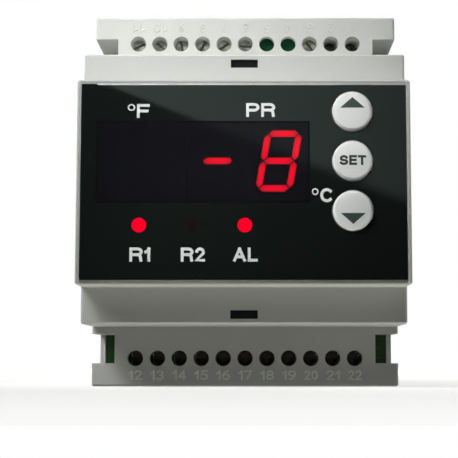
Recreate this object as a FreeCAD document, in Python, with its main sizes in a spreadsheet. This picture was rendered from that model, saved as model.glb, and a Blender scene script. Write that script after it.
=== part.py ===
import FreeCAD, Part
import os
import re
import math
import Sketcher

# A temperature controller in a stepped case for a 35 mm top-hat rail.
# X is across the front, Z is up, and the front looks along -Y.
# The origin is the middle of the rail's front face, where the case seats.
# "Front" sizes are measured forward of that face, so they count along -Y.
# Every length is in millimetres.

SIZES = {
    # Case: overall outline and the three steps of the front
    "case_width": 71.0,
    "case_height": 87.3,
    "step_height": 59.8,
    "nose_height": 43.8,
    "nose_front": 54.5,
    "step_front": 45.5,
    "parting": 13.3,
    "rear_depth": 5.5,
    "rear_bevel": 2.0,
    "cover_wall": 1.8,
    "base_wall": 1.2,
    "base_floor": 1.8,
    "edge_bevel": 0.4,
    # Snap tongues of the base and their windows in the sides of the cover
    "snap_width": 8.0,
    "snap_up": 16.0,
    "snap_thick": 1.1,
    "snap_length": 6.5,
    "snap_play": 0.15,
    "snap_nib": 2.2,
    "snap_reach": 1.3,
    "snap_flat": 0.6,
    "snap_back": 3.2,
    # Circuit boards and the ledge that carries the main one
    "board_thick": 1.6,
    "board_play": 0.2,
    "board_sink": 0.3,
    "board_ledge": 1.2,
    # Rail recess and fixed hook
    "rail_height": 35.0,
    "rail_thick": 1.0,
    "rail_play": 0.2,
    "hook_play": 0.35,
    "hook_reach": 1.7,
    "hook_tip": 1.0,
    "hook_lead": 1.2,
    # Sliding rail clip and its channel
    "clip_width": 22.0,
    "clip_plate": 2.0,
    "clip_play": 0.3,
    "clip_sink": 0.2,
    "clip_reach": 1.6,
    "clip_travel": 4.0,
    "clip_inset": 1.0,
    "spine_width": 17.4,
    "spine_inset": 0.6,
    "arm_width": 1.6,
    "arm_slot": 0.7,
    "arm_length": 11.0,
    "arm_top": 9.0,
    "bump_reach": 1.0,
    "bump_height": 2.2,
    "pry_width": 6.0,
    "pry_height": 1.8,
    "pry_inset": 2.0,
    # Terminals
    "terminal_count": 11,
    "terminal_pitch": 5.08,
    "hole_inset": 6.45,
    "access_hole": 3.65,
    "block_height": 12.9,
    "block_depth": 8.6,
    "block_gap": 0.3,
    "block_play": 0.35,
    "block_floor": 1.2,
    "block_back": 1.2,
    "cage_spacing": 0.88,
    "cage_height": 5.6,
    "cage_depth": 6.2,
    "cage_wall": 0.5,
    "cage_play": 0.1,
    "wire_window": 3.9,
    "wire_height": 5.4,
    "wire_sill": 1.3,
    "screw_length": 6.6,
    "screw_play": 0.1,
    "screw_closed": 0.3,
    "screw_rise": 4.0,
    "screw_slot": 0.6,
    "screw_slot_depth": 0.7,
    # Corner notches of the terminal shoulders
    "notch_width": 5.3,
    "notch_height": 6.85,
    "notch_inset": 5.3,
    "notch_wall": 1.2,
    # Latch slots and the snap tabs behind the step
    "latch_width": 6.0,
    "latch_height": 1.9,
    "latch_inset": 1.15,
    "latch_depth": 9.0,
    "tab_width": 5.4,
    "tab_thick": 1.2,
    "tab_play": 0.2,
    "tab_short": 0.4,
    # Nose frame and black front sheet
    "rim_width": 0.9,
    "rim_bevel": 0.4,
    "overlay_thick": 0.5,
    "overlay_play": 0.1,
    "frame_face": 1.6,
    "frame_wall": 1.5,
    "skirt_thick": 0.9,
    "skirt_play": 0.15,
    "post_width": 3.0,
    "post_inset": 1.5,
    "catch_width": 8.0,
    "catch_reach": 0.8,
    "catch_thick": 1.2,
    "catch_across": 17.0,
    "catch_play": 0.05,
    # Display window and digits
    "window_width": 45.0,
    "window_height": 17.2,
    "window_across": -8.65,
    "window_up": 4.15,
    "lens_play": 0.1,
    "lens_lap": 1.0,
    "lens_flange": 0.9,
    "digit_width": 12.7,
    "digit_height": 19.0,
    "digit_depth": 8.0,
    "digit_pitch": 13.1,
    "digit_across": -5.6,
    "digit_up": 4.4,
    "digit_air": 0.2,
    "digit_bevel": 0.5,
    # Keys and push switches
    "key_width": 8.5,
    "key_across": 23.05,
    "key_middle": 4.3,
    "key_pitch": 10.6,
    "key_proud": 1.0,
    "key_play": 0.25,
    "key_lap": 0.35,
    "key_flange": 0.9,
    "key_rest": 0.1,
    "key_stem": 3.0,
    "key_lug": 3.0,
    "key_bevel": 0.5,
    "key_travel": 0.5,
    "switch_side": 6.0,
    "switch_body": 3.5,
    "switch_height": 5.0,
    "plunger_width": 3.4,
    "plunger_play": 0.2,
    "plunger_root": 1.2,
    # Indicator lamps
    "lamp_across": -10.9,
    "lamp_up": -9.35,
    "lamp_pitch": 11.17,
    "lamp_width": 3.0,
    "lamp_length": 5.0,
    "lamp_play": 0.15,
    "lamp_air": 0.1,
    "lamp_leg": 0.5,
    "lamp_leg_pitch": 2.54,
    # Control chip on the back of the display board, and the pin row between the boards
    "chip_width": 7.5,
    "chip_length": 17.9,
    "chip_thick": 2.3,
    "chip_legs": 14,
    "chip_leg_pitch": 1.27,
    "chip_leg": 0.42,
    "chip_leg_reach": 1.4,
    "chip_leg_thick": 0.8,
    "chip_across": -6.0,
    "link_pins": 8,
    "link_pitch": 2.54,
    "link_pin": 0.64,
    "link_strip": 2.5,
    "link_inset": 3.4,
    # Power supply on the main board
    "core_width": 32.0,
    "core_height": 22.0,
    "core_stack": 12.0,
    "core_limb": 10.0,
    "core_yoke": 5.0,
    "coil_play": 0.15,
    "coil_bulge": 5.5,
    "coil_round": 2.0,
    "core_inset": 3.0,
    "reservoir_width": 10.0,
    "reservoir_height": 16.0,
    "smoothing_width": 6.3,
    "smoothing_height": 11.0,
    "can_gap": 4.0,
    "supply_up": 22.0,
    "rectifier_width": 8.2,
    "rectifier_length": 6.4,
    "rectifier_height": 3.4,
    "rectifier_bevel": 1.5,
    "regulator_width": 10.0,
    "regulator_thick": 4.5,
    "regulator_height": 15.5,
    "regulator_tab": 1.3,
    "regulator_body": 9.2,
    "regulator_hole": 3.6,
    # Relays
    "relay_width": 19.0,
    "relay_length": 15.4,
    "relay_height": 15.6,
    "relay_pitch": 18.4,
    "relay_inset": 7.2,
    "relay_bevel": 0.8,
}

# Places and sizes that follow from the driving sizes
PLACES = {
    "half_width": "case_width / 2",
    "half_height": "case_height / 2",
    "half_step": "step_height / 2",
    "half_nose": "nose_height / 2",
    "board_front": "parting - board_sink",
    "board_rear": "board_front - board_thick",
    "terminal_front": "board_front + block_height + block_gap + cover_wall",
    "board_half_width": "half_width - base_wall - board_play",
    "board_half_height": "half_height - base_wall - board_play",
    "cavity_half_width": "half_width - base_wall - board_ledge",
    "cavity_half_height": "half_height - base_wall - board_ledge",
    "cover_half_width": "half_width - cover_wall",
    "snap_outer": "cover_half_width - snap_play",
    "snap_inner": "snap_outer - snap_thick",
    "nib_rear": "parting + snap_back",
    "nib_fore": "nib_rear + snap_nib",
    "seat_half": "rail_height / 2 + rail_play",
    "hook_gap": "rail_thick + hook_play",
    "plate_fore": "clip_sink + clip_play",
    "plate_aft": "plate_fore + clip_plate",
    "channel_shelf": "plate_aft + clip_play",
    "spine_aft": "rear_depth - spine_inset",
    "half_clip": "clip_width / 2",
    "half_spine": "spine_width / 2",
    "clip_top": "-seat_half - clip_play",
    "clip_foot": "clip_inset - half_height",
    "lip_top": "clip_reach - rail_height / 2",
    "arm_tip": "clip_top - arm_top",
    "arm_root": "arm_tip - arm_length",
    "terminal_up": "half_height - hole_inset",
    "row_start": "-(terminal_count - 1) * terminal_pitch / 2",
    "cage_width": "terminal_pitch - cage_spacing",
    "screw_width": "cage_width - 2 * cage_wall - 2 * screw_play",
    "cage_floor": "board_front + block_floor + cage_play",
    "screw_foot": "cage_floor + cage_wall + screw_closed",
    "block_inner": "terminal_up - block_depth / 2",
    "block_outer": "half_height - cover_wall - block_play",
    "notch_top": "half_height - notch_inset",
    "notch_foot": "notch_top - notch_height",
    "notch_side": "half_width - notch_width",
    "latch_outer": "half_step - latch_inset",
    "latch_inner": "latch_outer - latch_height",
    "skirt_inner": "half_nose - frame_wall",
    "skirt_outer": "skirt_inner + skirt_thick",
    "tab_front": "step_front - cover_wall - tab_play",
    "tab_back": "tab_front - tab_thick",
    "skirt_back": "panel_back - catch_play - catch_thick",
    "overlay_back": "nose_front - overlay_thick",
    "face_back": "overlay_back - frame_face",
    "post_across": "panel_half_width - post_inset",
    "post_up": "panel_half_height - post_inset",
    "panel_front": "face_back - lens_flange - digit_air - digit_depth",
    "panel_back": "panel_front - board_thick",
    "panel_half_width": "cover_half_width - board_play",
    "panel_half_height": "half_nose - frame_wall - board_play",
    "key_hole": "key_width + 2 * key_play",
    "key_sheet_back": "key_rest + frame_face + overlay_thick",
    "plunger_top": "panel_front + switch_height",
    "lamp_front": "overlay_back - lamp_air",
    "lamp_back": "lamp_front - lamp_length",
    "link_across": "panel_half_width - link_inset",
    "core_across": "core_inset + core_width / 2 - board_half_width",
    "coil_half_width": "core_width / 2 - core_yoke - coil_play",
    "window_gap": "(core_width - core_limb) / 2 - core_yoke",
    "relay_across": "board_half_width - relay_inset - relay_width / 2",
}

# Slot angle of each clamp screw, and how far it stands open (0 shut, 1 fully open), left to right
TOP_SCREWS = {0: (28, 1), 1: (-40, 1), 2: (-80, 1), 3: (62, 1), 4: (33, 1), 5: (-4, 1),
              8: (-52, 1), 9: (15, 0), 10: (70, 0)}
BOTTOM_SCREWS = {0: (20, 0.1), 1: (-35, 0.1), 2: (75, 0.1), 3: (5, 0.1), 4: (-60, 0.4), 5: (48, 0.5),
                 6: (-15, 0.4), 7: (88, 0.5), 8: (-70, 0.1), 9: (30, 0.3), 10: (-25, 0.4)}

# The terminal rows: name, direction from the middle, and screws
ROWS = (("top", 1, TOP_SCREWS), ("bottom", -1, BOTTOM_SCREWS))

# The terminal blocks: name, direction from the middle, first position from the left, and ways
BLOCKS = (("top_left", 1, 0, 6), ("top_right", 1, 8, 3), ("bottom", -1, 0, 11))

# The three keys, lamps, relays and digits, counted from the middle one
KEYS = (("up", 1), ("set", 0), ("down", -1))
ACROSS = (("left", -1), ("middle", 0), ("right", 1))
UPRIGHT = (("upper", 1), ("middle", 0), ("lower", -1))

# The four quarters of the front, as directions across and up
CORNERS = ((-1, -1), (-1, 1), (1, -1), (1, 1))

doc = FreeCAD.newDocument("temperature_controller")
sheet = doc.addObject("Spreadsheet::Sheet", "sizes")
for line, (alias, size) in enumerate(SIZES.items(), 1):
    sheet.set(f"A{line}", alias)
    sheet.set(f"B{line}", str(size))
    sheet.setAlias(f"B{line}", alias)
doc.recompute()

nodes = []

# Lengths under this count as nothing when edges are picked
TINY = 0.001


def expression(text):
    """Spell out each worked-out place and point every name at its cell in the sheet."""
    def spell(match):
        name = match.group(0)
        if name in PLACES:
            return "(" + expression(PLACES[name]) + ")"
        return "sizes." + name
    return re.sub(r"[a-z]\w+", spell, text)


def new_body(name):
    """A new sub-part whose label names its file."""
    body = doc.addObject("PartDesign::Body", name)
    body.Label = name
    nodes.append(body)
    return body


def place(body, across="0", front="0", up="0"):
    """Put a sub-part's own origin at a place given across, forward and up."""
    body.setExpression("Placement.Base.x", expression(across))
    body.setExpression("Placement.Base.y", expression(f"-({front})"))
    body.setExpression("Placement.Base.z", expression(up))


def new_sketch(body, plane, lift, name):
    """A sketch on one of the body's own origin planes, lifted along the plane's normal."""
    sketch = body.newObject("Sketcher::SketchObject", name)
    base = next(f for f in body.Origin.OriginFeatures if f.Role == plane)
    sketch.AttachmentSupport = (base, [""])
    sketch.MapMode = "FlatFace"
    sketch.setExpression("AttachmentOffset.Base.z", expression(lift))
    return sketch


def tie(sketch, kind, target, start, text):
    """Add one dimension, with the value it has now, and bind it to the sheet."""
    index = sketch.addConstraint(Sketcher.Constraint(kind, *target, start))
    sketch.setExpression(f"Constraints[{index}]", expression(text))


def outline(body, plane, lift, name, *loops):
    """Closed loops of straight edges, each corner tied to the sheet by its two coordinates.

    Each loop starts as a regular polygon, and the dimensions then pull its corners into place.
    """
    sketch = new_sketch(body, plane, lift, name)
    for loop in loops:
        first = sketch.GeometryCount
        count = len(loop)
        turns = [2 * math.pi * corner / count for corner in range(count)]
        starts = [FreeCAD.Vector(math.cos(turn), math.sin(turn), 0) for turn in turns]
        for corner in range(count):
            sketch.addGeometry(Part.LineSegment(starts[corner], starts[(corner + 1) % count]))
        for corner in range(count):
            joint = Sketcher.Constraint("Coincident", first + corner, 2, first + (corner + 1) % count, 1)
            sketch.addConstraint(joint)
        for corner, (across, up) in enumerate(loop):
            point = (-1, 1, first + corner, 1)
            tie(sketch, "DistanceX", point, starts[corner].x, across)
            tie(sketch, "DistanceY", point, starts[corner].y, up)
    return sketch


def circles(body, plane, lift, name, *rounds):
    """Circles given by centre and diameter, all tied to the sheet."""
    sketch = new_sketch(body, plane, lift, name)
    for number, (across, up, diameter) in enumerate(rounds):
        sketch.addGeometry(Part.Circle(FreeCAD.Vector(1, 1, 0), FreeCAD.Vector(0, 0, 1), 1))
        tie(sketch, "DistanceX", (-1, 1, number, 3), 1.0, across)
        tie(sketch, "DistanceY", (-1, 1, number, 3), 1.0, up)
        tie(sketch, "Diameter", (number,), 2.0, diameter)
    return sketch


def box(left, low, right, high):
    """Corners of an upright rectangle."""
    return [(left, low), (right, low), (right, high), (left, high)]


def centred(half_across, half_up, across="0", up="0"):
    """Corners of an upright rectangle about a centre."""
    return box(f"{across} - ({half_across})", f"{up} - ({half_up})",
               f"{across} + {half_across}", f"{up} + {half_up}")


def pad(body, sketch, length, name, reverse=False):
    """Add material along the sketch's normal, or against it."""
    feature = body.newObject("PartDesign::Pad", name)
    feature.Profile = sketch
    feature.setExpression("Length", expression(length))
    feature.Reversed = reverse
    return feature


def pocket(body, sketch, length, name, reverse=False):
    """Cut material against the sketch's normal, or along it."""
    feature = body.newObject("PartDesign::Pocket", name)
    feature.Profile = sketch
    feature.setExpression("Length", expression(length))
    feature.Reversed = reverse
    return feature


def row(body, original, sketch, pitch, count, name, axis="H_Axis"):
    """Repeat a feature along one axis of its sketch."""
    feature = body.newObject("PartDesign::LinearPattern", name)
    feature.Originals = [original]
    feature.Direction = (sketch, [axis])
    feature.setExpression("Length", expression(f"({count} - 1) * {pitch}"))
    feature.setExpression("Occurrences", expression(count))
    body.Tip = feature
    return feature


def spin(body, sketch, name, axis="H_Axis"):
    """Turn a half profile round one axis of its sketch."""
    feature = body.newObject("PartDesign::Revolution", name)
    feature.Profile = sketch
    feature.ReferenceAxis = (sketch, [axis])
    feature.Angle = 360
    return feature


def round_edges(body, feature, wanted, radius, name):
    """Round those edges of a feature that pass a test."""
    doc.recompute()
    names = [f"Edge{n}" for n, edge in enumerate(feature.Shape.Edges, 1) if wanted(edge)]
    fillet = body.newObject("PartDesign::Fillet", name)
    fillet.Base = (feature, names)
    fillet.setExpression("Radius", expression(radius))
    return fillet


def bevel_edges(body, feature, wanted, size, name):
    """Bevel those edges of a feature that pass a test."""
    doc.recompute()
    names = [f"Edge{n}" for n, edge in enumerate(feature.Shape.Edges, 1) if wanted(edge)]
    chamfer = body.newObject("PartDesign::Chamfer", name)
    chamfer.Base = (feature, names)
    chamfer.setExpression("Size", expression(size))
    return chamfer


def along(edge, axis):
    """Whether an edge is straight and parallel to an axis."""
    spans = {"X": edge.BoundBox.XLength, "Y": edge.BoundBox.YLength, "Z": edge.BoundBox.ZLength}
    return spans.pop(axis) > TINY and max(spans.values()) < TINY


def foremost(edge, feature):
    """Whether an edge lies in the most forward plane of a feature."""
    return edge.BoundBox.YMax < feature.Shape.BoundBox.YMin + TINY


def base_housing():
    """Rear tray: a side profile with the rail recess and fixed hook, hollowed, with snap tongues."""
    body = new_body("base_housing")
    profile = outline(body, "YZ_Plane", "-half_width", "side_profile", [
        ("-parting", "-half_height"),
        ("rear_depth - rear_bevel", "-half_height"),
        ("rear_depth", "rear_bevel - half_height"),
        ("rear_depth", "-seat_half"),
        ("0", "-seat_half"),
        ("0", "seat_half"),
        ("hook_gap", "seat_half"),
        ("hook_gap", "seat_half - hook_reach"),
        ("hook_gap + hook_tip", "seat_half - hook_reach"),
        ("rear_depth", "seat_half + hook_lead"),
        ("rear_depth", "half_height - rear_bevel"),
        ("rear_depth - rear_bevel", "half_height"),
        ("-parting", "half_height"),
    ])
    block = pad(body, profile, "case_width", "block")

    def end_corner(edge):
        return along(edge, "Y") and abs(edge.BoundBox.ZMin) > block.Shape.BoundBox.ZMax - TINY
    bevel_edges(body, block, end_corner, "edge_bevel", "end_corners")

    bed = outline(body, "XZ_Plane", "parting", "board_bed_outline",
                  centred("half_width - base_wall", "half_height - base_wall"))
    pocket(body, bed, "parting - board_rear", "board_bed")
    cavity = outline(body, "XZ_Plane", "board_rear", "cavity_outline",
                     centred("cavity_half_width", "cavity_half_height"))
    pocket(body, cavity, "board_rear - base_floor", "cavity")

    foot_inner = "seat_half + hook_lead + base_floor"
    channel_side = "half_clip + clip_play + bump_reach + clip_play + base_floor"
    hollows = outline(body, "XZ_Plane", "base_floor", "foot_hollow_outlines",
                      box("-cavity_half_width", foot_inner, "cavity_half_width", "cavity_half_height"),
                      box(f"-({channel_side})", "-cavity_half_height",
                          "-cavity_half_width", f"-({foot_inner})"),
                      box(channel_side, "-cavity_half_height",
                          "cavity_half_width", f"-({foot_inner})"))
    pocket(body, hollows, "rear_depth", "foot_hollows")

    half_snap = "snap_width / 2"
    tongues = outline(body, "XZ_Plane", "base_floor", "snap_tongue_outlines",
                      *[box(f"{x} * snap_inner", f"{z} * snap_up - {half_snap}",
                            f"{x} * snap_outer", f"{z} * snap_up + {half_snap}") for x, z in CORNERS])
    pad(body, tongues, "parting + snap_length - base_floor", "snap_tongues")
    for name, up in (("upper", 1), ("lower", -1)):
        nibs = outline(body, "XY_Plane", f"{up} * snap_up - {half_snap}", f"{name}_nib_outlines",
                       *[[(f"{x} * snap_outer", "-nib_rear"),
                          (f"{x} * (snap_outer + snap_reach)", "-nib_rear"),
                          (f"{x} * (snap_outer + snap_reach)", "-nib_rear - snap_flat"),
                          (f"{x} * snap_outer", "-nib_fore")] for x in (-1, 1)])
        pad(body, nibs, "snap_width", f"{name}_nibs")

    slide = outline(body, "XZ_Plane", "-clip_sink", "clip_channel_outline",
                    box("-half_clip - clip_play", "-half_height", "half_clip + clip_play", "-seat_half"))
    pocket(body, slide, "channel_shelf - clip_sink", "clip_channel")
    gate = outline(body, "XZ_Plane", "-channel_shelf", "spine_channel_outline",
                   box("-half_spine - clip_play", "-half_height", "half_spine + clip_play", "-seat_half"))
    pocket(body, gate, "rear_depth - channel_shelf", "spine_channel")

    stop_low = "arm_tip - bump_height - clip_travel - clip_play"
    stop_side = "half_clip + clip_play + bump_reach"
    stops = outline(body, "XZ_Plane", "-clip_sink", "clip_stop_outlines",
                    box(f"-({stop_side})", stop_low, "-half_clip", "arm_tip + clip_play"),
                    box("half_clip", stop_low, stop_side, "arm_tip + clip_play"))
    pocket(body, stops, "channel_shelf - clip_sink", "clip_stops")


def front_cover():
    """Stepped shell: terminal shoulders, screw holes, wire and snap windows, corner notches and slots."""
    body = new_body("front_cover")
    profile = outline(body, "YZ_Plane", "-half_width", "side_profile", [
        ("-parting", "-half_height"),
        ("-parting", "half_height"),
        ("-terminal_front", "half_height"),
        ("-terminal_front", "half_step"),
        ("-step_front", "half_step"),
        ("-step_front", "-half_step"),
        ("-terminal_front", "-half_step"),
        ("-terminal_front", "-half_height"),
    ])
    block = pad(body, profile, "case_width", "block")

    def outer_edge(edge):
        limits = block.Shape.BoundBox
        at_parting = edge.BoundBox.YMin > limits.YMax - TINY
        at_step = edge.BoundBox.YMax < limits.YMin + TINY
        at_end = abs(edge.BoundBox.ZMin) > limits.ZMax - TINY
        inner_corner = along(edge, "X") and not at_step and not at_end
        return not at_parting and not inner_corner
    bevel_edges(body, block, outer_edge, "edge_bevel", "outer_edges")

    inside = outline(body, "YZ_Plane", "-cover_half_width", "inner_profile", [
        ("-parting", "cover_wall - half_height"),
        ("-parting", "half_height - cover_wall"),
        ("cover_wall - terminal_front", "half_height - cover_wall"),
        ("cover_wall - terminal_front", "half_step - cover_wall"),
        ("cover_wall - step_front", "half_step - cover_wall"),
        ("cover_wall - step_front", "cover_wall - half_step"),
        ("cover_wall - terminal_front", "cover_wall - half_step"),
        ("cover_wall - terminal_front", "cover_wall - half_height"),
    ])
    pocket(body, inside, "2 * cover_half_width", "inside", reverse=True)

    mouth = outline(body, "XZ_Plane", "step_front", "mouth_outline",
                    centred("cover_half_width", "skirt_outer + skirt_play"))
    pocket(body, mouth, "cover_wall", "mouth")

    walls = outline(body, "XZ_Plane", "parting", "notch_wall_outlines",
                    *[box(f"{x} * (notch_side - notch_wall)", f"{z} * (notch_foot - notch_wall)",
                          f"{x} * (half_width - cover_wall / 2)", f"{z} * (notch_top + notch_wall)")
                      for x, z in CORNERS])
    pad(body, walls, "terminal_front - parting - cover_wall / 2", "notch_walls")
    cuts = outline(body, "XZ_Plane", "terminal_front", "notch_outlines",
                   *[box(f"{x} * notch_side", f"{z} * notch_foot", f"{x} * half_width", f"{z} * notch_top")
                     for x, z in CORNERS])
    pocket(body, cuts, "terminal_front - parting", "notches")

    slots = outline(body, "XZ_Plane", "step_front", "latch_slot_outlines",
                    box("-latch_width / 2", "latch_inner", "latch_width / 2", "latch_outer"),
                    box("-latch_width / 2", "-latch_outer", "latch_width / 2", "-latch_inner"))
    pocket(body, slots, "latch_depth", "latch_slots")

    snaps = outline(body, "YZ_Plane", "half_width", "snap_window_outlines",
                    *[box("-nib_fore - snap_play", f"{z} * snap_up - snap_width / 2 - snap_play",
                          "snap_play - nib_rear", f"{z} * snap_up + snap_width / 2 + snap_play")
                      for z in (-1, 1)])
    pocket(body, snaps, "case_width", "snap_windows")

    for name, up, _ in ROWS:
        hole = circles(body, "XZ_Plane", "terminal_front", f"{name}_screw_circle",
                       ("row_start", f"{up} * terminal_up", "access_hole"))
        drill = pocket(body, hole, "cover_wall", f"{name}_screw_hole")
        row(body, drill, hole, "terminal_pitch", "terminal_count", f"{name}_screw_holes")
    sill = "parting + wire_sill"
    for name, up, first, ways in BLOCKS:
        middle = f"row_start + {first} * terminal_pitch"
        window = outline(body, "XY_Plane", f"{up} * half_height", f"{name}_wire_outline",
                         box(f"{middle} - wire_window / 2", f"-({sill}) - wire_height",
                             f"{middle} + wire_window / 2", f"-({sill})"))
        gap = pocket(body, window, "cover_wall", f"{name}_wire_window", reverse=up < 0)
        row(body, gap, window, "terminal_pitch", str(ways), f"{name}_wire_windows")


def front_frame():
    """Nose moulding: a rimmed face with openings, a skirt with snap tabs, and posts for the board."""
    body = new_body("front_frame")
    face = outline(body, "XZ_Plane", "step_front", "nose_outline", centred("half_width", "half_nose"))
    block = pad(body, face, "nose_front - step_front", "block")

    def outer_edge(edge):
        return along(edge, "Y") or foremost(edge, block)
    bevel_edges(body, block, outer_edge, "rim_bevel", "rim_edges")

    bed = outline(body, "XZ_Plane", "nose_front", "overlay_bed_outline",
                  centred("half_width - rim_width", "half_nose - rim_width"))
    pocket(body, bed, "overlay_thick", "overlay_bed")
    inside = outline(body, "XZ_Plane", "step_front", "inner_outline",
                     centred("half_width - frame_wall", "half_nose - frame_wall"))
    pocket(body, inside, "face_back - step_front", "inside", reverse=True)

    reach = "cover_half_width - skirt_play"
    skirts = outline(body, "XZ_Plane", "step_front", "skirt_outlines",
                     box(f"-({reach})", "skirt_inner", reach, "skirt_outer"),
                     box(f"-({reach})", "-skirt_outer", reach, "-skirt_inner"))
    pad(body, skirts, "step_front - skirt_back", "skirts", reverse=True)
    tip = "latch_inner - tab_short"
    tabs = outline(body, "XZ_Plane", "tab_back", "snap_tab_outlines",
                   box("-tab_width / 2", "skirt_inner", "tab_width / 2", tip),
                   box("-tab_width / 2", f"-({tip})", "tab_width / 2", "-skirt_inner"))
    pad(body, tabs, "tab_thick", "snap_tabs")

    posts = outline(body, "XZ_Plane", "panel_front", "post_outlines",
                    *[centred("post_width / 2", "post_width / 2", f"{x} * post_across", f"{z} * post_up")
                      for x, z in CORNERS])
    pad(body, posts, "face_back - panel_front", "posts")
    catches = outline(body, "XZ_Plane", "skirt_back", "catch_outlines",
                      *[box(f"{x} * catch_across - catch_width / 2", f"{z} * (skirt_inner - catch_reach)",
                            f"{x} * catch_across + catch_width / 2", f"{z} * skirt_outer")
                        for x, z in CORNERS])
    pad(body, catches, "catch_thick", "catches")

    window = outline(body, "XZ_Plane", "overlay_back", "window_outline",
                     centred("window_width / 2", "window_height / 2", "window_across", "window_up"))
    pocket(body, window, "frame_face", "window")
    keys = outline(body, "XZ_Plane", "overlay_back", "key_hole_outlines",
                   *[centred("key_hole / 2", "key_hole / 2", "key_across", f"key_middle + {step} * key_pitch")
                     for _, step in KEYS])
    pocket(body, keys, "frame_face", "key_holes")
    half_hole = "lamp_width / 2 + lamp_play"
    lamps = outline(body, "XZ_Plane", "overlay_back", "lamp_hole_outlines",
                    *[centred(half_hole, half_hole, f"lamp_across + {step} * lamp_pitch", "lamp_up")
                      for _, step in ACROSS])
    pocket(body, lamps, "frame_face", "lamp_holes")


def front_overlay():
    """Thin black sheet in the frame's recess, cut out for the window and the keys."""
    body = new_body("front_overlay")
    sheet_edge = outline(body, "XZ_Plane", "overlay_back", "sheet_outline",
                         centred("half_width - rim_width - overlay_play",
                                 "half_nose - rim_width - overlay_play"))
    pad(body, sheet_edge, "overlay_thick", "sheet")
    window = outline(body, "XZ_Plane", "nose_front", "window_outline",
                     centred("window_width / 2", "window_height / 2", "window_across", "window_up"))
    pocket(body, window, "overlay_thick", "window")
    keys = circles(body, "XZ_Plane", "nose_front", "key_hole_circles",
                   *[("key_across", f"key_middle + {step} * key_pitch", "key_hole") for _, step in KEYS])
    pocket(body, keys, "overlay_thick", "key_holes")


def display_lens():
    """Smoked window: a plug flush with the front sheet and a flange behind the frame's face."""
    body = new_body("display_lens")
    flange = outline(body, "XZ_Plane", "face_back - lens_flange", "flange_outline",
                     centred("window_width / 2 + lens_lap", "window_height / 2 + lens_lap",
                             "window_across", "window_up"))
    pad(body, flange, "lens_flange", "flange")
    plug = outline(body, "XZ_Plane", "face_back", "plug_outline",
                   centred("window_width / 2 - lens_play", "window_height / 2 - lens_play",
                           "window_across", "window_up"))
    pad(body, plug, "frame_face + overlay_thick", "plug")


def key(name, step):
    """Round key: a cap with a soft edge, a lugged bar that stops it behind the face, and a stem."""
    body = new_body(f"key_{name}")
    bar_back = "-key_sheet_back - key_flange"
    radius = "key_width / 2"
    profile = outline(body, "YZ_Plane", "0", "half_profile", [
        ("-key_proud", "0"),
        ("-key_proud", f"{radius} - key_bevel"),
        ("key_bevel - key_proud", radius),
        ("key_sheet_back", radius),
        ("key_sheet_back", "0"),
    ])
    spin(body, profile, "cap")
    bar = outline(body, "XZ_Plane", bar_back, "bar_outline", centred("key_hole / 2 + key_lap", "key_lug / 2"))
    pad(body, bar, "key_flange", "bar")
    stem = outline(body, "XZ_Plane", bar_back, "stem_outline", centred("key_stem / 2", "key_stem / 2"))
    pad(body, stem, f"{bar_back} - (plunger_top - nose_front)", "stem", reverse=True)
    place(body, "key_across", "nose_front", f"key_middle + {step} * key_pitch")


def push_switch(name, step):
    """Square push switch on the display board, with a well, and the square plunger that runs in it."""
    body = new_body(f"switch_{name}")
    square = outline(body, "XZ_Plane", "0", "square", centred("switch_side / 2", "switch_side / 2"))
    pad(body, square, "switch_body", "case")
    half_well = "plunger_width / 2 + plunger_play"
    well = outline(body, "XZ_Plane", "switch_body", "well_outline", centred(half_well, half_well))
    pocket(body, well, "plunger_root + key_travel + plunger_play", "well")
    place(body, "key_across", "panel_front", f"key_middle + {step} * key_pitch")

    plunger = new_body(f"plunger_{name}")
    rod = outline(plunger, "XZ_Plane", "switch_body - plunger_root", "rod_outline",
                  centred("plunger_width / 2", "plunger_width / 2"))
    pad(plunger, rod, "switch_height - switch_body + plunger_root", "rod")
    place(plunger, "key_across", "panel_front", f"key_middle + {step} * key_pitch")


def digit(name, step):
    """Seven-segment display block on the display board."""
    body = new_body(f"digit_{name}")
    face = outline(body, "XZ_Plane", "0", "face", centred("digit_width / 2", "digit_height / 2"))
    block = pad(body, face, "digit_depth", "block")
    bevel_edges(body, block, lambda edge: along(edge, "Y"), "digit_bevel", "corner_bevels")
    place(body, f"digit_across + {step} * digit_pitch", "panel_front", "digit_up")


def indicator(name, step):
    """Indicator lamp: a flat-topped bulb on two legs that reach the display board."""
    body = new_body(f"indicator_{name}")
    disc = circles(body, "XZ_Plane", "0", "disc", ("0", "0", "lamp_width"))
    pad(body, disc, "lamp_length", "bulb")
    half_leg = "lamp_leg / 2"
    legs = outline(body, "XZ_Plane", "0", "leg_outlines",
                   centred(half_leg, half_leg, "-lamp_leg_pitch / 2"),
                   centred(half_leg, half_leg, "lamp_leg_pitch / 2"))
    pad(body, legs, "lamp_back - panel_front", "legs", reverse=True)
    place(body, f"lamp_across + {step} * lamp_pitch", "lamp_back", "lamp_up")


def display_board():
    """Front circuit board, held between the frame's posts and catches."""
    body = new_body("display_board")
    edge = outline(body, "XZ_Plane", "panel_back", "board_outline",
                   centred("panel_half_width", "panel_half_height"))
    pad(body, edge, "board_thick", "board")


def microcontroller():
    """Control chip on the back of the display board, with a row of legs down each side."""
    body = new_body("microcontroller")
    package = outline(body, "XZ_Plane", "0", "package_outline",
                      centred("chip_length / 2", "chip_width / 2"))
    pad(body, package, "chip_thick", "package", reverse=True)
    start = "-(chip_legs - 1) * chip_leg_pitch / 2"
    for name, up in (("upper", 1), ("lower", -1)):
        leg = outline(body, "XZ_Plane", "0", f"{name}_leg_outline",
                      box(f"{start} - chip_leg / 2", f"{up} * chip_width / 2",
                          f"{start} + chip_leg / 2", f"{up} * (chip_width / 2 + chip_leg_reach)"))
        first = pad(body, leg, "chip_leg_thick", f"{name}_leg", reverse=True)
        row(body, first, leg, "chip_leg_pitch", "chip_legs", f"{name}_legs")
    place(body, "chip_across", "panel_back")


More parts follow.
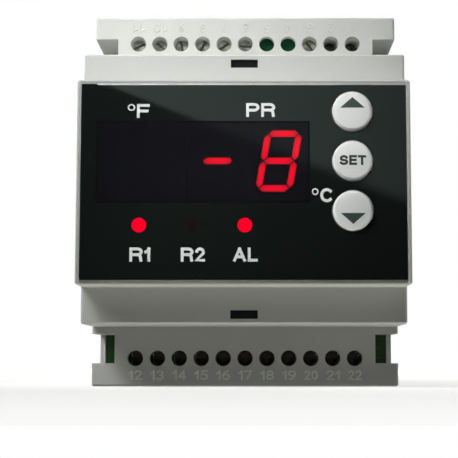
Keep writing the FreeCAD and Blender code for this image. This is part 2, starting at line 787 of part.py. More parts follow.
def board_link():
    """Pin row that joins the main board to the display board, standing in its strip."""
    body = new_body("board_link")
    half_run = "link_pins * link_pitch / 2"
    strip = outline(body, "XZ_Plane", "board_front", "strip_outline",
                    centred("link_strip / 2", half_run, "link_across"))
    pad(body, strip, "link_strip", "strip")
    start = "-(link_pins - 1) * link_pitch / 2"
    pin = outline(body, "XZ_Plane", "board_front", "pin_outline",
                  centred("link_pin / 2", "link_pin / 2", "link_across", start))
    first = pad(body, pin, "panel_back - board_front", "pin")
    row(body, first, pin, "link_pitch", "link_pins", "pins", axis="V_Axis")


def main_board():
    """Main circuit board on the ledge of the base, notched for the snap tongues."""
    body = new_body("main_board")
    edge = outline(body, "XZ_Plane", "board_rear", "board_outline",
                   centred("board_half_width", "board_half_height"))
    pad(body, edge, "board_thick", "board")
    half_notch = "(snap_width / 2 + board_play)"
    notches = outline(body, "XZ_Plane", "board_front", "notch_outlines",
                      *[box(f"{x} * (snap_inner - board_play)", f"{z} * snap_up - {half_notch}",
                            f"{x} * half_width", f"{z} * snap_up + {half_notch}") for x, z in CORNERS])
    pocket(body, notches, "board_thick", "notches")


def transformer():
    """Small mains transformer: a laminated core with two windows, and the winding on its middle limb."""
    core = new_body("transformer_core")
    side = outline(core, "XZ_Plane", "0", "side_outline", centred("core_width / 2", "core_stack / 2"))
    pad(core, side, "core_height", "stack")
    middle = "(core_limb + window_gap) / 2"
    windows = outline(core, "XY_Plane", "core_stack / 2", "window_outlines",
                      *[box(f"{x} * {middle} - window_gap / 2", "core_yoke - core_height",
                            f"{x} * {middle} + window_gap / 2", "-core_yoke") for x in (-1, 1)])
    pocket(core, windows, "core_stack", "windows")
    place(core, "core_across", "board_front")

    coil = new_body("transformer_winding")
    half_deep = "core_stack / 2 + coil_bulge"
    bundle = outline(coil, "XZ_Plane", "core_yoke + coil_play", "bundle_outline",
                     centred("coil_half_width", half_deep))
    wound = pad(coil, bundle, "core_height - 2 * core_yoke - 2 * coil_play", "bundle")
    round_edges(coil, wound, lambda edge: along(edge, "Y"), "coil_round", "turned_corners")
    limb = outline(coil, "XZ_Plane", "core_yoke + coil_play", "limb_outline",
                   centred("core_limb / 2 + coil_play", "core_stack / 2 + coil_play"))
    pocket(coil, limb, "core_height", "limb_hole", reverse=True)
    place(coil, "core_across", "board_front")


def capacitor(name, across):
    """Upright round can on the main board."""
    body = new_body(f"{name}_capacitor")
    disc = circles(body, "XZ_Plane", "0", "disc", ("0", "0", f"{name}_width"))
    pad(body, disc, f"{name}_height", "can")
    place(body, across, "board_front", "-supply_up")


def bridge_rectifier():
    """Low block on the main board, whose bevelled corner marks its positive leg."""
    body = new_body("bridge_rectifier")
    half_across = "rectifier_width / 2"
    half_up = "rectifier_length / 2"
    foot = outline(body, "XZ_Plane", "0", "foot", [
        (f"-{half_across}", f"-{half_up}"),
        (half_across, f"-{half_up}"),
        (half_across, half_up),
        (f"rectifier_bevel - {half_across}", half_up),
        (f"-{half_across}", f"{half_up} - rectifier_bevel"),
    ])
    pad(body, foot, "rectifier_height", "case")
    place(body, "core_across - can_gap - rectifier_width / 2", "board_front", "supply_up")


def voltage_regulator():
    """Upright regulator: a moulded body with a drilled metal tab behind it."""
    body = new_body("voltage_regulator")
    half = "regulator_width / 2"
    front = outline(body, "XY_Plane", "0", "body_outline",
                    box(f"-{half}", "-regulator_body", half, "0"))
    pad(body, front, "regulator_thick - regulator_tab", "moulding", reverse=True)
    tab = outline(body, "XY_Plane", "0", "tab_outline",
                  box(f"-{half}", "-regulator_height", half, "0"))
    pad(body, tab, "regulator_tab", "tab")
    bolt = circles(body, "XY_Plane", "regulator_tab", "bolt_circle",
                   ("0", "(regulator_body + regulator_height) / -2", "regulator_hole"))
    pocket(body, bolt, "regulator_tab", "bolt_hole")
    place(body, "core_across + can_gap + regulator_width / 2", "board_front", "supply_up")


def relay(name, step):
    """Sealed relay on the main board."""
    body = new_body(f"relay_{name}")
    foot = outline(body, "XZ_Plane", "0", "foot", centred("relay_width / 2", "relay_length / 2"))
    case = pad(body, foot, "relay_height", "case")

    def outer_edge(edge):
        return along(edge, "Y") or foremost(edge, case)
    bevel_edges(body, case, outer_edge, "relay_bevel", "case_edges")
    place(body, "relay_across", "board_front", f"{step} * relay_pitch")


def terminal_block(name, up, first, ways):
    """Row of clamp housings: a screw well in front and a cage cavity open to the wire side."""
    body = new_body(f"terminal_block_{name}")
    left = f"row_start + {first} * terminal_pitch"
    foot = outline(body, "XZ_Plane", "board_front", "foot", box(
        f"{left} - terminal_pitch / 2", f"{up} * block_inner",
        f"{left} + ({ways} - 0.5) * terminal_pitch", f"{up} * block_outer"))
    pad(body, foot, "block_height", "housing")
    half_well = "screw_width / 2 + 2 * screw_play"
    well = outline(body, "XZ_Plane", "board_front + block_height", "well_outline",
                   centred(half_well, half_well, left, f"{up} * terminal_up"))
    shaft = pocket(body, well, "block_height - block_floor - cage_height", "well")
    row(body, shaft, well, "terminal_pitch", str(ways), "wells")
    side = "cage_width / 2 + cage_play"
    floor = "board_front + block_floor"
    mouth = outline(body, "XY_Plane", f"{up} * block_outer", "cavity_outline",
                    box(f"{left} - ({side})", f"-({floor}) - cage_height - 2 * cage_play",
                        f"{left} + {side}", f"-({floor})"))
    space = pocket(body, mouth, "block_outer - block_inner - block_back", "cavity", reverse=up < 0)
    row(body, space, mouth, "terminal_pitch", str(ways), "cavities")


def clamp_cages():
    """Bent metal saddles that hold the wires, one for each fitted terminal, as one group."""
    body = new_body("clamp_cages")
    wall = "cage_width / 2 - cage_wall"
    for name, up, first, ways in BLOCKS:
        middle = f"row_start + {first} * terminal_pitch"
        saddle = outline(body, "XY_Plane", f"{up} * terminal_up - cage_depth / 2", f"{name}_saddle", [
            (f"{middle} - cage_width / 2", "-cage_floor"),
            (f"{middle} - cage_width / 2", "-cage_floor - cage_height"),
            (f"{middle} - ({wall})", "-cage_floor - cage_height"),
            (f"{middle} - ({wall})", "-cage_floor - cage_wall"),
            (f"{middle} + {wall}", "-cage_floor - cage_wall"),
            (f"{middle} + {wall}", "-cage_floor - cage_height"),
            (f"{middle} + cage_width / 2", "-cage_floor - cage_height"),
            (f"{middle} + cage_width / 2", "-cage_floor"),
        ])
        bent = pad(body, saddle, "cage_depth", f"{name}_cage")
        row(body, bent, saddle, "terminal_pitch", str(ways), f"{name}_cages")


def terminal_screws():
    """Slotted clamp screws in the wells of the terminal blocks, as one group."""
    screws = []
    for name, up, fitted in ROWS:
        for index, (angle, opening) in fitted.items():
            screws.append(clamp_screw(f"{name}_{index}", index, up, angle, opening))
    group = doc.addObject("Part::Compound", "terminal_screws")
    group.Label = "terminal_screws"
    group.Links = screws
    nodes.append(group)


def clamp_screw(tag, index, up, angle, opening):
    """One screw: a rod that points forward, with a slot across its end at its own angle."""
    across = f"row_start + {index} * terminal_pitch"
    middle = f"{up} * terminal_up"
    foot = f"screw_foot + {opening} * screw_rise"
    rod = doc.addObject("Part::Cylinder", f"screw_rod_{tag}")
    rod.setExpression("Radius", expression("screw_width / 2"))
    rod.setExpression("Height", expression("screw_length"))
    rod.Placement.Rotation = FreeCAD.Rotation(FreeCAD.Vector(1, 0, 0), 90)
    place(rod, across, foot, middle)
    blade = doc.addObject("Part::Box", f"screw_slot_{tag}")
    blade.setExpression("Length", expression("2 * screw_width"))
    blade.setExpression("Width", expression("2 * screw_slot_depth"))
    blade.setExpression("Height", expression("screw_slot"))
    blade.Placement.Rotation = FreeCAD.Rotation(FreeCAD.Vector(0, 1, 0), -angle)
    cosine = math.cos(math.radians(angle))
    sine = math.sin(math.radians(angle))
    place(blade, f"{across} - {cosine} * screw_width + {sine} * screw_slot / 2",
          f"{foot} + screw_length + screw_slot_depth",
          f"{middle} - {sine} * screw_width - {cosine} * screw_slot / 2")
    screw = doc.addObject("Part::Cut", f"screw_{tag}")
    screw.Base = rod
    screw.Tool = blade
    return screw


def rail_clip():
    """Sliding foot: a plate with two spring arms, and a spine that ends in the lip behind the rail."""
    body = new_body("rail_clip")
    plate = outline(body, "XZ_Plane", "-plate_aft", "plate_outline",
                    box("-half_clip", "clip_foot", "half_clip", "clip_top"))
    pad(body, plate, "clip_plate", "plate")
    spine = outline(body, "YZ_Plane", "-half_spine", "spine_profile", [
        ("plate_aft", "clip_foot"),
        ("spine_aft", "clip_foot"),
        ("spine_aft", "clip_top - hook_lead"),
        ("hook_gap + hook_tip", "lip_top"),
        ("hook_gap", "lip_top"),
        ("hook_gap", "clip_top"),
        ("plate_aft", "clip_top"),
    ])
    pad(body, spine, "spine_width", "spine")
    inner = "half_clip - arm_width - arm_slot"
    outer = "half_clip - arm_width"
    for name, side in (("right", 1), ("left", -1)):
        freed = outline(body, "XZ_Plane", "-plate_fore", f"{name}_arm_slot_outline", [
            (f"{side} * ({inner})", "arm_root"),
            (f"{side} * ({outer})", "arm_root"),
            (f"{side} * ({outer})", "arm_tip"),
            (f"{side} * half_clip", "arm_tip"),
            (f"{side} * half_clip", "arm_tip + arm_slot"),
            (f"{side} * ({inner})", "arm_tip + arm_slot"),
        ])
        pocket(body, freed, "clip_plate", f"{name}_arm_slot")
        bump = outline(body, "XZ_Plane", "-plate_aft", f"{name}_bump_outline", [
            (f"{side} * ({outer})", "arm_tip - bump_height"),
            (f"{side} * half_clip", "arm_tip - bump_height"),
            (f"{side} * (half_clip + bump_reach)", "arm_tip - bump_height / 2"),
            (f"{side} * (half_clip + bump_reach)", "arm_tip"),
            (f"{side} * ({outer})", "arm_tip"),
        ])
        pad(body, bump, "clip_plate", f"{name}_bump")
    pry = outline(body, "XZ_Plane", "-plate_fore", "pry_slot_outline",
                  box("-pry_width / 2", "clip_foot + pry_inset",
                      "pry_width / 2", "clip_foot + pry_inset + pry_height"))
    pocket(body, pry, "spine_aft - plate_fore", "pry_slot")


base_housing()
front_cover()
front_frame()
front_overlay()
display_lens()
for title, order in KEYS:
    key(title, order)
    push_switch(title, order)
for title, order in ACROSS:
    digit(title, order)
    indicator(title, order)
display_board()
microcontroller()
board_link()
main_board()
transformer()
capacitor("reservoir", "core_across - can_gap - reservoir_width / 2")
capacitor("smoothing", "core_across + can_gap + smoothing_width / 2")
bridge_rectifier()
voltage_regulator()
for title, order in UPRIGHT:
    relay(title, order)
for block in BLOCKS:
    terminal_block(*block)
clamp_cages()
terminal_screws()
rail_clip()
doc.recompute()

for item in doc.Objects:
    if "Invalid" in item.State or "Error" in item.State:
        raise RuntimeError(f"{item.Label} was not built: {item.State}")
    if item.TypeId == "PartDesign::Pocket" and item.BaseFeature.Shape.Volume - item.Shape.Volume < 1e-6:
        raise RuntimeError(f"{item.Label} cut nothing")
for node in nodes:
    if node.Shape.isNull() or not node.Shape.isValid():
        raise RuntimeError(f"{node.Label} has no valid shape")

os.makedirs("parts", exist_ok=True)
for node in nodes:
    node.Shape.exportStep(f"parts/{node.Label}.step")
print(f"wrote {len(nodes)} sub-parts")
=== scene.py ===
# %% [markdown]
# # A temperature controller for a rail
# The object is a light grey stepped case that clips on a 35 mm rail, with a glossy black front, a red
# display, three round keys and two rows of screw terminals. Its solid parts come ready made from the CAD
# frame, in metres, with the front looking along -Y and +Z up. This lesson gives them their finishes and
# adds what is printed, lit or embossed: the bars of the digits, the legends and the terminal numbers.

# %% Load the frame
import math

import bpy
import numpy as np
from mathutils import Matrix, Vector


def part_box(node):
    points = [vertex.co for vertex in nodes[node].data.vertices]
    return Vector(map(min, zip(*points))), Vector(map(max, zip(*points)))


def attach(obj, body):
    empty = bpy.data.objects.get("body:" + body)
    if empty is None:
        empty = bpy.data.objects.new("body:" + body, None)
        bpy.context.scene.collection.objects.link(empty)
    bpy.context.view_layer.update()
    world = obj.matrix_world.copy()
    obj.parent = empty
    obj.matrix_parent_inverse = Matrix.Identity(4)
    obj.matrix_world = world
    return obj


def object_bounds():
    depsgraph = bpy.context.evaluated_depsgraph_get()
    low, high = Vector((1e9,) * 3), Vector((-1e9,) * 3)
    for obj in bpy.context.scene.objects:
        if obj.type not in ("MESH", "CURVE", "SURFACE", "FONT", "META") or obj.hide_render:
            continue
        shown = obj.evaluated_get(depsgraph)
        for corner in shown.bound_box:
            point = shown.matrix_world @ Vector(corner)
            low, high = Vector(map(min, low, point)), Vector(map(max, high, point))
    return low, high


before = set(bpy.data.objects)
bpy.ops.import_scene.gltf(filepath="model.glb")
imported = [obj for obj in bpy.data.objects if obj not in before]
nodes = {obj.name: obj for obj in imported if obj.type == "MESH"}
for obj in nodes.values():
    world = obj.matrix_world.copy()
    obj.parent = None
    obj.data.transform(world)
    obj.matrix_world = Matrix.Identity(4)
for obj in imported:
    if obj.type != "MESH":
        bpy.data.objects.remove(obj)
cad_low, cad_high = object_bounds()
scene = bpy.context.scene
MM = 0.001

# %% [markdown]
# ## The camera
# The photograph is taken square to the front from just above the table, so the upper ledges are seen from
# below. A real camera would use a rising lens for that. Here most of it is a small upward tilt and only a
# little of it is shift, because a large shift would push the object out of every other view.

# %% Camera
SENSOR = 36.0
TILT = 5.55
lens = bpy.data.cameras.new("camera")
lens.sensor_width = SENSOR
lens.lens = 89.7
lens.shift_x = -0.0659
lens.shift_y = 0.05
camera = bpy.data.objects.new("camera", lens)
camera.location = (3.29 * MM, -293.3 * MM, -38.24 * MM)
camera.rotation_euler = (math.radians(90 + TILT), 0, 0)
scene.collection.objects.link(camera)
scene.camera = camera
scene.view_settings.view_transform = "Standard"
print("camera", round(math.degrees(2 * math.atan(SENSOR / 2 / lens.lens)), 1), "degrees wide")

# %% [markdown]
# ## Helpers for node trees
# A finish is a small network of shader nodes. A few helpers keep the cells short: one adds a node and fills
# in its sockets, one starts a material whose Principled shader is ready to be fed, and one feeds it. A
# socket is given either a plain value or the output of another node, so a network reads like a recipe.


# %% Node helpers
def add(tree, kind, settings=None, **inputs):
    """Add a node. Sockets are named with _ for a space, or _0, _1 and so on by number."""
    node = tree.nodes.new(kind)
    for key, value in (settings or {}).items():
        setattr(node, key, value)
    for key, value in inputs.items():
        socket = node.inputs[int(key[1:])] if key[0] == "_" else node.inputs[key.replace("_", " ")]
        if isinstance(value, bpy.types.NodeSocket):
            tree.links.new(value, socket)
        else:
            socket.default_value = value
    return node


def feed(tree, node, **outputs):
    """Link the outputs of other nodes to sockets of a node, named with _ for a space."""
    for key, output in outputs.items():
        tree.links.new(output, node.inputs[key.replace("_", " ")])


def new_finish(name, **inputs):
    """A material with one Principled shader; returns the material, its node tree and the shader."""
    material = bpy.data.materials.new(name)
    material.use_nodes = True
    tree = material.node_tree
    tree.nodes.clear()
    shader = add(tree, "ShaderNodeBsdfPrincipled", **inputs)
    add(tree, "ShaderNodeOutputMaterial", Surface=shader.outputs["BSDF"])
    return material, tree, shader


def rgb(red, green, blue):
    """A colour for a socket, with full alpha."""
    return (red, green, blue, 1.0)


print("node helpers ready")


# %% Small steps of a recipe
def place_of(tree):
    """Position on the object itself, so that a pattern stays put when a part moves."""
    return add(tree, "ShaderNodeTexCoord").outputs["Object"]


def split_of(tree, vector):
    """The parts of a vector, named X, Y and Z."""
    return add(tree, "ShaderNodeSeparateXYZ", Vector=vector).outputs


def length_of(tree, vector):
    """The length of a vector."""
    return add(tree, "ShaderNodeVectorMath", {"operation": "LENGTH"}, _0=vector).outputs["Value"]


def sum_of(tree, operation, first, second, third=0.0, clamp=False):
    """One step of arithmetic on numbers."""
    return add(tree, "ShaderNodeMath", {"operation": operation, "use_clamp": clamp},
               _0=first, _1=second, _2=third).outputs[0]


def ramp(tree, value, start, stop, first=0.0, last=1.0):
    """A straight line from first to last as the value goes from start to stop, and level beyond."""
    return add(tree, "ShaderNodeMapRange", _0=value, _1=start, _2=stop, _3=first, _4=last).outputs[0]


def blend(tree, share, first, second):
    """A mix of two colours, by the share of the second."""
    return add(tree, "ShaderNodeMix", {"data_type": "RGBA"}, _0=share, _6=first, _7=second).outputs[2]


print("recipe steps ready")

# %% [markdown]
# ## The studio
# A pale table, soft lights round the object and a white surround. The table is milky, as shooting tables
# are: a lamp below shines through it and brightens the undersides, but it gives back little light, so the
# lower ledges stay dark. The surround is white to the camera and in reflections, and lights the object only
# gently. A black card stands far in front, with a grey panel above a slanted edge that fades to the right:
# the glossy front mirrors it, which draws the diagonal between the dark and the lighter black in the
# photograph. The reflection is a real one, so it moves when the view does.


# %% Table
def sheet(name, corners, material):
    """Flat stage sheet through four corners in mm."""
    mesh = bpy.data.meshes.new(name)
    mesh.from_pydata((np.array(corners) * MM).tolist(), [], [(0, 1, 2, 3)])
    mesh.materials.append(material)
    item = bpy.data.objects.new(name, mesh)
    scene.collection.objects.link(item)
    return item


def shown_rays(tree):
    """1 for rays that show a surface to the camera: straight, mirrored or through glass; 0 for its light."""
    path = add(tree, "ShaderNodeLightPath").outputs
    mirrored = sum_of(tree, "MAXIMUM", path["Is Glossy Ray"], path["Is Transmission Ray"])
    return sum_of(tree, "MAXIMUM", path["Is Camera Ray"], mirrored)


table_pale, tree, shader = new_finish("table pale", Roughness=0.9, Specular_IOR_Level=0.0,
                                      Emission_Color=rgb(1, 1, 1))
# The floor glows less near the object, so that its real shadow shows; this ramp also greys the floor round
# the foot on its own, as painted shade.
whiter = ramp(tree, length_of(tree, place_of(tree)), 0.05, 0.30, 0.54, 1.0)
seen = shown_rays(tree)
tone = blend(tree, seen, rgb(0.06, 0.06, 0.05), rgb(0.62, 0.62, 0.6))
feed(tree, shader, Base_Color=tone, Emission_Strength=sum_of(tree, "MULTIPLY", whiter, seen))
FOOT = cad_low.z / MM - 0.02
TABLE_HALF = 3000
corners = [(-TABLE_HALF, -TABLE_HALF, FOOT), (TABLE_HALF, -TABLE_HALF, FOOT),
           (TABLE_HALF, TABLE_HALF, FOOT), (-TABLE_HALF, TABLE_HALF, FOOT)]
table = sheet("table", corners, table_pale)
table.visible_shadow = False
print("table at", round(FOOT, 2), "mm")

# %% Front card
CARD_AHEAD = -754
CARD_HALF = 1500
EDGE_SLOPE = -0.39
EDGE_UP = 0.145
MIRRORED_SPAN = (-0.15, 0.13)
card_black, tree, shader = new_finish("card black", Base_Color=rgb(0.004, 0.004, 0.004), Roughness=1.0,
                                      Specular_IOR_Level=0.0, Emission_Color=rgb(0.8, 1.0, 0.92))
split = split_of(tree, place_of(tree))
over = sum_of(tree, "SUBTRACT", split["Z"], sum_of(tree, "MULTIPLY_ADD", split["X"], EDGE_SLOPE, EDGE_UP))
blur = ramp(tree, split["X"], *MIRRORED_SPAN, 0.0006, 0.006)
above = sum_of(tree, "MULTIPLY_ADD", sum_of(tree, "DIVIDE", over, blur), 0.5, 0.5, clamp=True)
fade = ramp(tree, split["X"], *MIRRORED_SPAN, 0.95, 0.4)
mirrored = sum_of(tree, "MULTIPLY", fade, add(tree, "ShaderNodeLightPath").outputs["Is Glossy Ray"])
feed(tree, shader, Emission_Strength=sum_of(tree, "MULTIPLY", above, mirrored))
corners = [(-CARD_HALF, CARD_AHEAD, FOOT), (CARD_HALF, CARD_AHEAD, FOOT),
           (CARD_HALF, CARD_AHEAD, CARD_HALF), (-CARD_HALF, CARD_AHEAD, CARD_HALF)]
card = sheet("front card", corners, card_black)
card.visible_camera = False
print("card", -CARD_AHEAD, "mm in front")

# %% Surround
world = bpy.data.worlds.new("white surround")
scene.world = world
world.use_nodes = True
tree = world.node_tree
tree.nodes.clear()
gentle = add(tree, "ShaderNodeBackground", Color=rgb(1.0, 1.0, 0.96), Strength=0.04)
white = add(tree, "ShaderNodeBackground", Color=rgb(1, 1, 1), Strength=1.0)
both = add(tree, "ShaderNodeMixShader", _0=shown_rays(tree), _1=gentle.outputs[0], _2=white.outputs[0])
add(tree, "ShaderNodeOutputWorld", Surface=both.outputs[0])
print("surround white to the camera")

# %% [markdown]
# ## The lamps
# Two softboxes at the upper left give most of the light, so the case grows darker to the right and its
# lower steps lie in the shade of the nose. Two small ones lift the keys and the legends, a fill and a rake
# keep the shade from going black, and the lamp below draws bright lines on the undersides. The last three
# stand behind and beside the object, for views from other sides.


# %% Soft lights
def softbox(name, spot, target, size, watts, spread=180.0, tint=(1, 1, 1)):
    """Rectangular light at a place in mm, turned so that it looks at a target."""
    light = bpy.data.lights.new(name, "AREA")
    light.shape = "RECTANGLE"
    light.size, light.size_y = size
    light.energy = watts
    light.color = tint
    light.spread = math.radians(spread)
    item = bpy.data.objects.new(name, light)
    item.location = Vector(spot) * MM
    item.rotation_euler = (Vector(target) - Vector(spot)).to_track_quat("-Z", "Y").to_euler()
    item.visible_camera = False
    scene.collection.objects.link(item)
    print(name, watts, "W")


UPPER_LEFT = (-120, -150, 160)
UPPER_FRONT = (60, -230, 150)
MIDDLE = (0, 0, 0)
softbox("left softbox", UPPER_LEFT, (-20, -40, 40), (0.18, 0.18), 0.05, spread=60.0)
softbox("upper left softbox", UPPER_LEFT, (-34, -40, 60), (0.08, 0.08), 0.036, spread=46.0)
softbox("key light", UPPER_FRONT, (22, -55, 15), (0.03, 0.03), 0.0007, spread=9.0)
softbox("legend light", UPPER_FRONT, (-9, -55, -2), (0.03, 0.03), 0.0013, spread=11.0)
softbox("right fill", (380, -260, -35), (0, 0, -20), (0.2, 0.2), 0.19)
softbox("left rake", (-350, -70, -30), (0, -28, -12), (0.05, 0.05), 0.005, spread=30.0)
softbox("lamp below", (0, -75, -420), (0, -58, -22), (0.3, 0.02), 0.023, spread=13.0,
        tint=(1.0, 1.0, 0.9))
softbox("right softbox", (520, 150, 200), MIDDLE, (0.3, 0.3), 1.0)
softbox("back left softbox", (-340, 555, 243), MIDDLE, (0.5, 0.4), 1.5)
softbox("back right softbox", (340, 555, 243), MIDDLE, (0.5, 0.4), 1.5)

# %% [markdown]
# ## Moulded grain, a shared effect
# Every plastic piece came out of a mould whose walls were finely sparked, so its skin has a grain a few
# tenths of a millimetre across, and its tone drifts a little where the melt flowed. That could be painted
# on each piece by hand. A node group does it once: two noises of different size give a colour, a roughness
# and a height, and each material sets its own amounts.


# %% Node group: moulded grain
def new_group(name, inputs, outputs):
    """A shader node group with named sockets; returns the tree, its input sockets and its output node."""
    group = bpy.data.node_groups.new(name, "ShaderNodeTree")
    for label, kind, value in inputs:
        socket = group.interface.new_socket(label, in_out="INPUT", socket_type="NodeSocket" + kind)
        if value is not None:
            socket.default_value = value
    for label, kind in outputs:
        group.interface.new_socket(label, in_out="OUTPUT", socket_type="NodeSocket" + kind)
    return group, group.nodes.new("NodeGroupInput").outputs, group.nodes.new("NodeGroupOutput")


def noise(tree, place, scale, detail=2.0, rough=0.5):
    """Soft noise from 0 to 1, with about so many lumps in a metre as the scale says."""
    return add(tree, "ShaderNodeTexNoise", Vector=place, Scale=scale, Detail=detail,
               Roughness=rough).outputs["Fac"]


def scaled(tree, vector, factor):
    """A vector or a colour times a number."""
    return add(tree, "ShaderNodeVectorMath", {"operation": "SCALE"}, _0=vector, Scale=factor).outputs[0]


GREY = rgb(0.7, 0.7, 0.7)
grain, taken, given = new_group("moulded grain", [
    ("Place", "Vector", None), ("Tone", "Color", GREY), ("Drift", "Float", 0.06),
    ("Fineness", "Float", 3500.0), ("Roughness", "Float", 0.5), ("Unevenness", "Float", 0.12),
], [("Tone", "Color"), ("Roughness", "Float"), ("Height", "Float")])
flow = noise(grain, taken["Place"], 55.0, detail=3.0)
skin = noise(grain, taken["Place"], taken["Fineness"])
drift = sum_of(grain, "MULTIPLY_ADD", sum_of(grain, "SUBTRACT", flow, 0.5), taken["Drift"], 1.0)
sheen = sum_of(grain, "MULTIPLY_ADD", sum_of(grain, "SUBTRACT", skin, 0.5), taken["Unevenness"],
               taken["Roughness"], clamp=True)
feed(grain, given, Tone=scaled(grain, taken["Tone"], drift), Roughness=sheen, Height=skin)
print("group", grain.name, "with", len(grain.nodes), "nodes")

# %% [markdown]
# ## Rubbed and highlit edges, a shared effect
# Handling polishes the edges of a moulding first: they turn a little lighter and smoother than the faces.
# The lighter tone is also a painted highlight along every edge. The group finds them by comparing the true
# normal with a normal that is averaged over a small reach, which differ only near an edge. A noise breaks
# the line up so that it doesn't look drawn.

# %% Node group: rubbed and highlit edges
edges, taken, given = new_group("rubbed edges", [
    ("Place", "Vector", None), ("Tone", "Color", GREY), ("Rubbed", "Color", rgb(0.9, 0.9, 0.9)),
    ("Roughness", "Float", 0.5), ("Reach", "Float", 0.0004), ("Amount", "Float", 0.3),
], [("Tone", "Color"), ("Roughness", "Float"), ("Edge", "Float")])
true = add(edges, "ShaderNodeNewGeometry").outputs["True Normal"]
soft = add(edges, "ShaderNodeBevel", {"samples": 4}, Radius=taken["Reach"]).outputs["Normal"]
alike = add(edges, "ShaderNodeVectorMath", {"operation": "DOT_PRODUCT"}, _0=true, _1=soft).outputs["Value"]
breaks = noise(edges, taken["Place"], 380.0, detail=4.0)
strong = sum_of(edges, "MULTIPLY", sum_of(edges, "SUBTRACT", 1.0, alike), 6.0)
# Edge mask: wear, and a painted highlight where the edges turn lighter.
edge = sum_of(edges, "MULTIPLY", sum_of(edges, "MULTIPLY", strong, breaks), taken["Amount"], clamp=True)
polish = sum_of(edges, "MULTIPLY_ADD", edge, -0.3, taken["Roughness"], clamp=True)
feed(edges, given, Tone=blend(edges, edge, taken["Tone"], taken["Rubbed"]), Roughness=polish, Edge=edge)
print("group", edges.name, "with", len(edges.nodes), "nodes")

# %% [markdown]
# ## Settled dust, a shared effect
# Nothing on a switchboard stays quite clean: a thin film settles on faces that look up. A third group finds
# those faces from the upward part of the normal, breaks the film up with noise, and hands back a colour. It
# is used sparingly, since the object in the photograph is new.

# %% Node group: settled dust
dust, taken, given = new_group("settled dust", [
    ("Place", "Vector", None), ("Tone", "Color", GREY), ("Film", "Color", rgb(0.5, 0.48, 0.44)),
    ("Amount", "Float", 0.1),
], [("Tone", "Color"), ("Film", "Float")])
upward = split_of(dust, add(dust, "ShaderNodeNewGeometry").outputs["Normal"])["Z"]
specks = noise(dust, taken["Place"], 420.0, detail=5.0, rough=0.7)
film = sum_of(dust, "MULTIPLY", sum_of(dust, "MULTIPLY", upward, taken["Amount"], clamp=True), specks)
feed(dust, given, Tone=blend(dust, film, taken["Tone"], taken["Film"]), Film=film)
print("group", dust.name, "with", len(dust.nodes), "nodes")

# %% [markdown]
# ## Plastic finishes
# The case, the keys, the clip, the blocks and the packages inside are all moulded plastic and differ only
# in tone, gloss and grain. One function makes such a finish from the groups: grain first, then rubbed
# edges with their painted highlight, dust over both, and a bump from the grain's height. The rim of the
# nose is greyer than the rest of it, which is told by the position, and it is painted darker along the
# bottom as painted shade and paler at the sides as painted light: another function greys the tone there
# before the edges are rubbed and highlit.


# %% Moulded plastic
def use_group(tree, group, **inputs):
    """Place a node group in a tree and fill in its sockets; returns its outputs."""
    return add(tree, "ShaderNodeGroup", {"node_tree": group}, **inputs).outputs


def moulded(name, tone, roughness=0.5, drift=0.06, fineness=3500.0, unevenness=0.12, relief=0.06, rub=0.25,
            film=0.1, gloss=0.4, shade=None):
    """Plastic from a mould: drift and unevenness vary it, relief is the grain's depth, the edge amount and
    film its wear, and the edge amount is also a painted highlight on its edges.

    A function may be given that shades the tone of some part of the piece."""
    material, tree, shader = new_finish(name, Specular_IOR_Level=gloss)
    place = place_of(tree)
    skin = use_group(tree, grain, Place=place, Tone=rgb(*tone), Drift=drift, Fineness=fineness,
                     Roughness=roughness, Unevenness=unevenness)
    # Lighter edge tone: wear, and a painted highlight along the edges.
    lighter = [min(1.0, 1.2 * part + 0.015) for part in tone]
    toned = shade(tree, place, skin["Tone"]) if shade else skin["Tone"]
    rubbed_highlit = use_group(tree, edges, Place=place, Tone=toned, Rubbed=rgb(*lighter),
                       Roughness=skin["Roughness"], Amount=rub)
    dusted = use_group(tree, dust, Place=place, Tone=rubbed_highlit["Tone"], Amount=film)
    bump = add(tree, "ShaderNodeBump", Strength=relief, Distance=0.0002, Height=skin["Height"])
    feed(tree, shader, Base_Color=dusted["Tone"], Roughness=rubbed_highlit["Roughness"],
         Normal=bump.outputs["Normal"])
    return material


def dress(material, *names):
    """Give CAD nodes a finish by putting it in their material slots."""
    for name in names:
        slots = nodes[name].data.materials
        if not slots:
            slots.append(material)
        for index in range(len(slots)):
            slots[index] = material
    print(material.name, "on", ", ".join(names))


print("moulded plastic ready")

# %% Grey mouldings
CASE_TONE = (0.66, 0.67, 0.64)
# Tones of the nose's rim: grey at the top, painted shade along the bottom, painted light at the sides.
RIM_TOP = rgb(0.4, 0.41, 0.4)
RIM_LOW_PAINTED_SHADE = rgb(0.2, 0.205, 0.175)
RIM_LEFT_PAINTED_LIGHT = rgb(0.47, 0.48, 0.465)
RIM_RIGHT_PAINTED_LIGHT = rgb(0.64, 0.65, 0.62)


def rim_grey_and_painted_shade(tree, place, tone):
    """Greyer over the last third of a millimetre of the nose, which is its rim; painted darker below as
    painted shade and paler at the sides as painted light.
    """
    split = split_of(tree, place)
    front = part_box("front_frame")[0][1]
    sheet_low, sheet_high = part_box("front_overlay")
    strips = ((sum_of(tree, "LESS_THAN", split["Z"], sheet_low.z), RIM_LOW_PAINTED_SHADE),
              (sum_of(tree, "LESS_THAN", split["X"], sheet_low.x), RIM_LEFT_PAINTED_LIGHT),
              (sum_of(tree, "GREATER_THAN", split["X"], sheet_high.x), RIM_RIGHT_PAINTED_LIGHT))
    grey = RIM_TOP
    for strip, colour in strips:
        grey = blend(tree, strip, grey, colour)
    return blend(tree, ramp(tree, split["Y"], front + 0.35 * MM, front + 0.1 * MM), tone, grey)


case_grey = moulded("case grey", CASE_TONE, roughness=0.52, gloss=0.25)
key_grey = moulded("key grey", (0.92, 0.94, 0.92), roughness=0.42, fineness=5000.0, relief=0.04)
dress(case_grey, "base_housing", "front_cover")
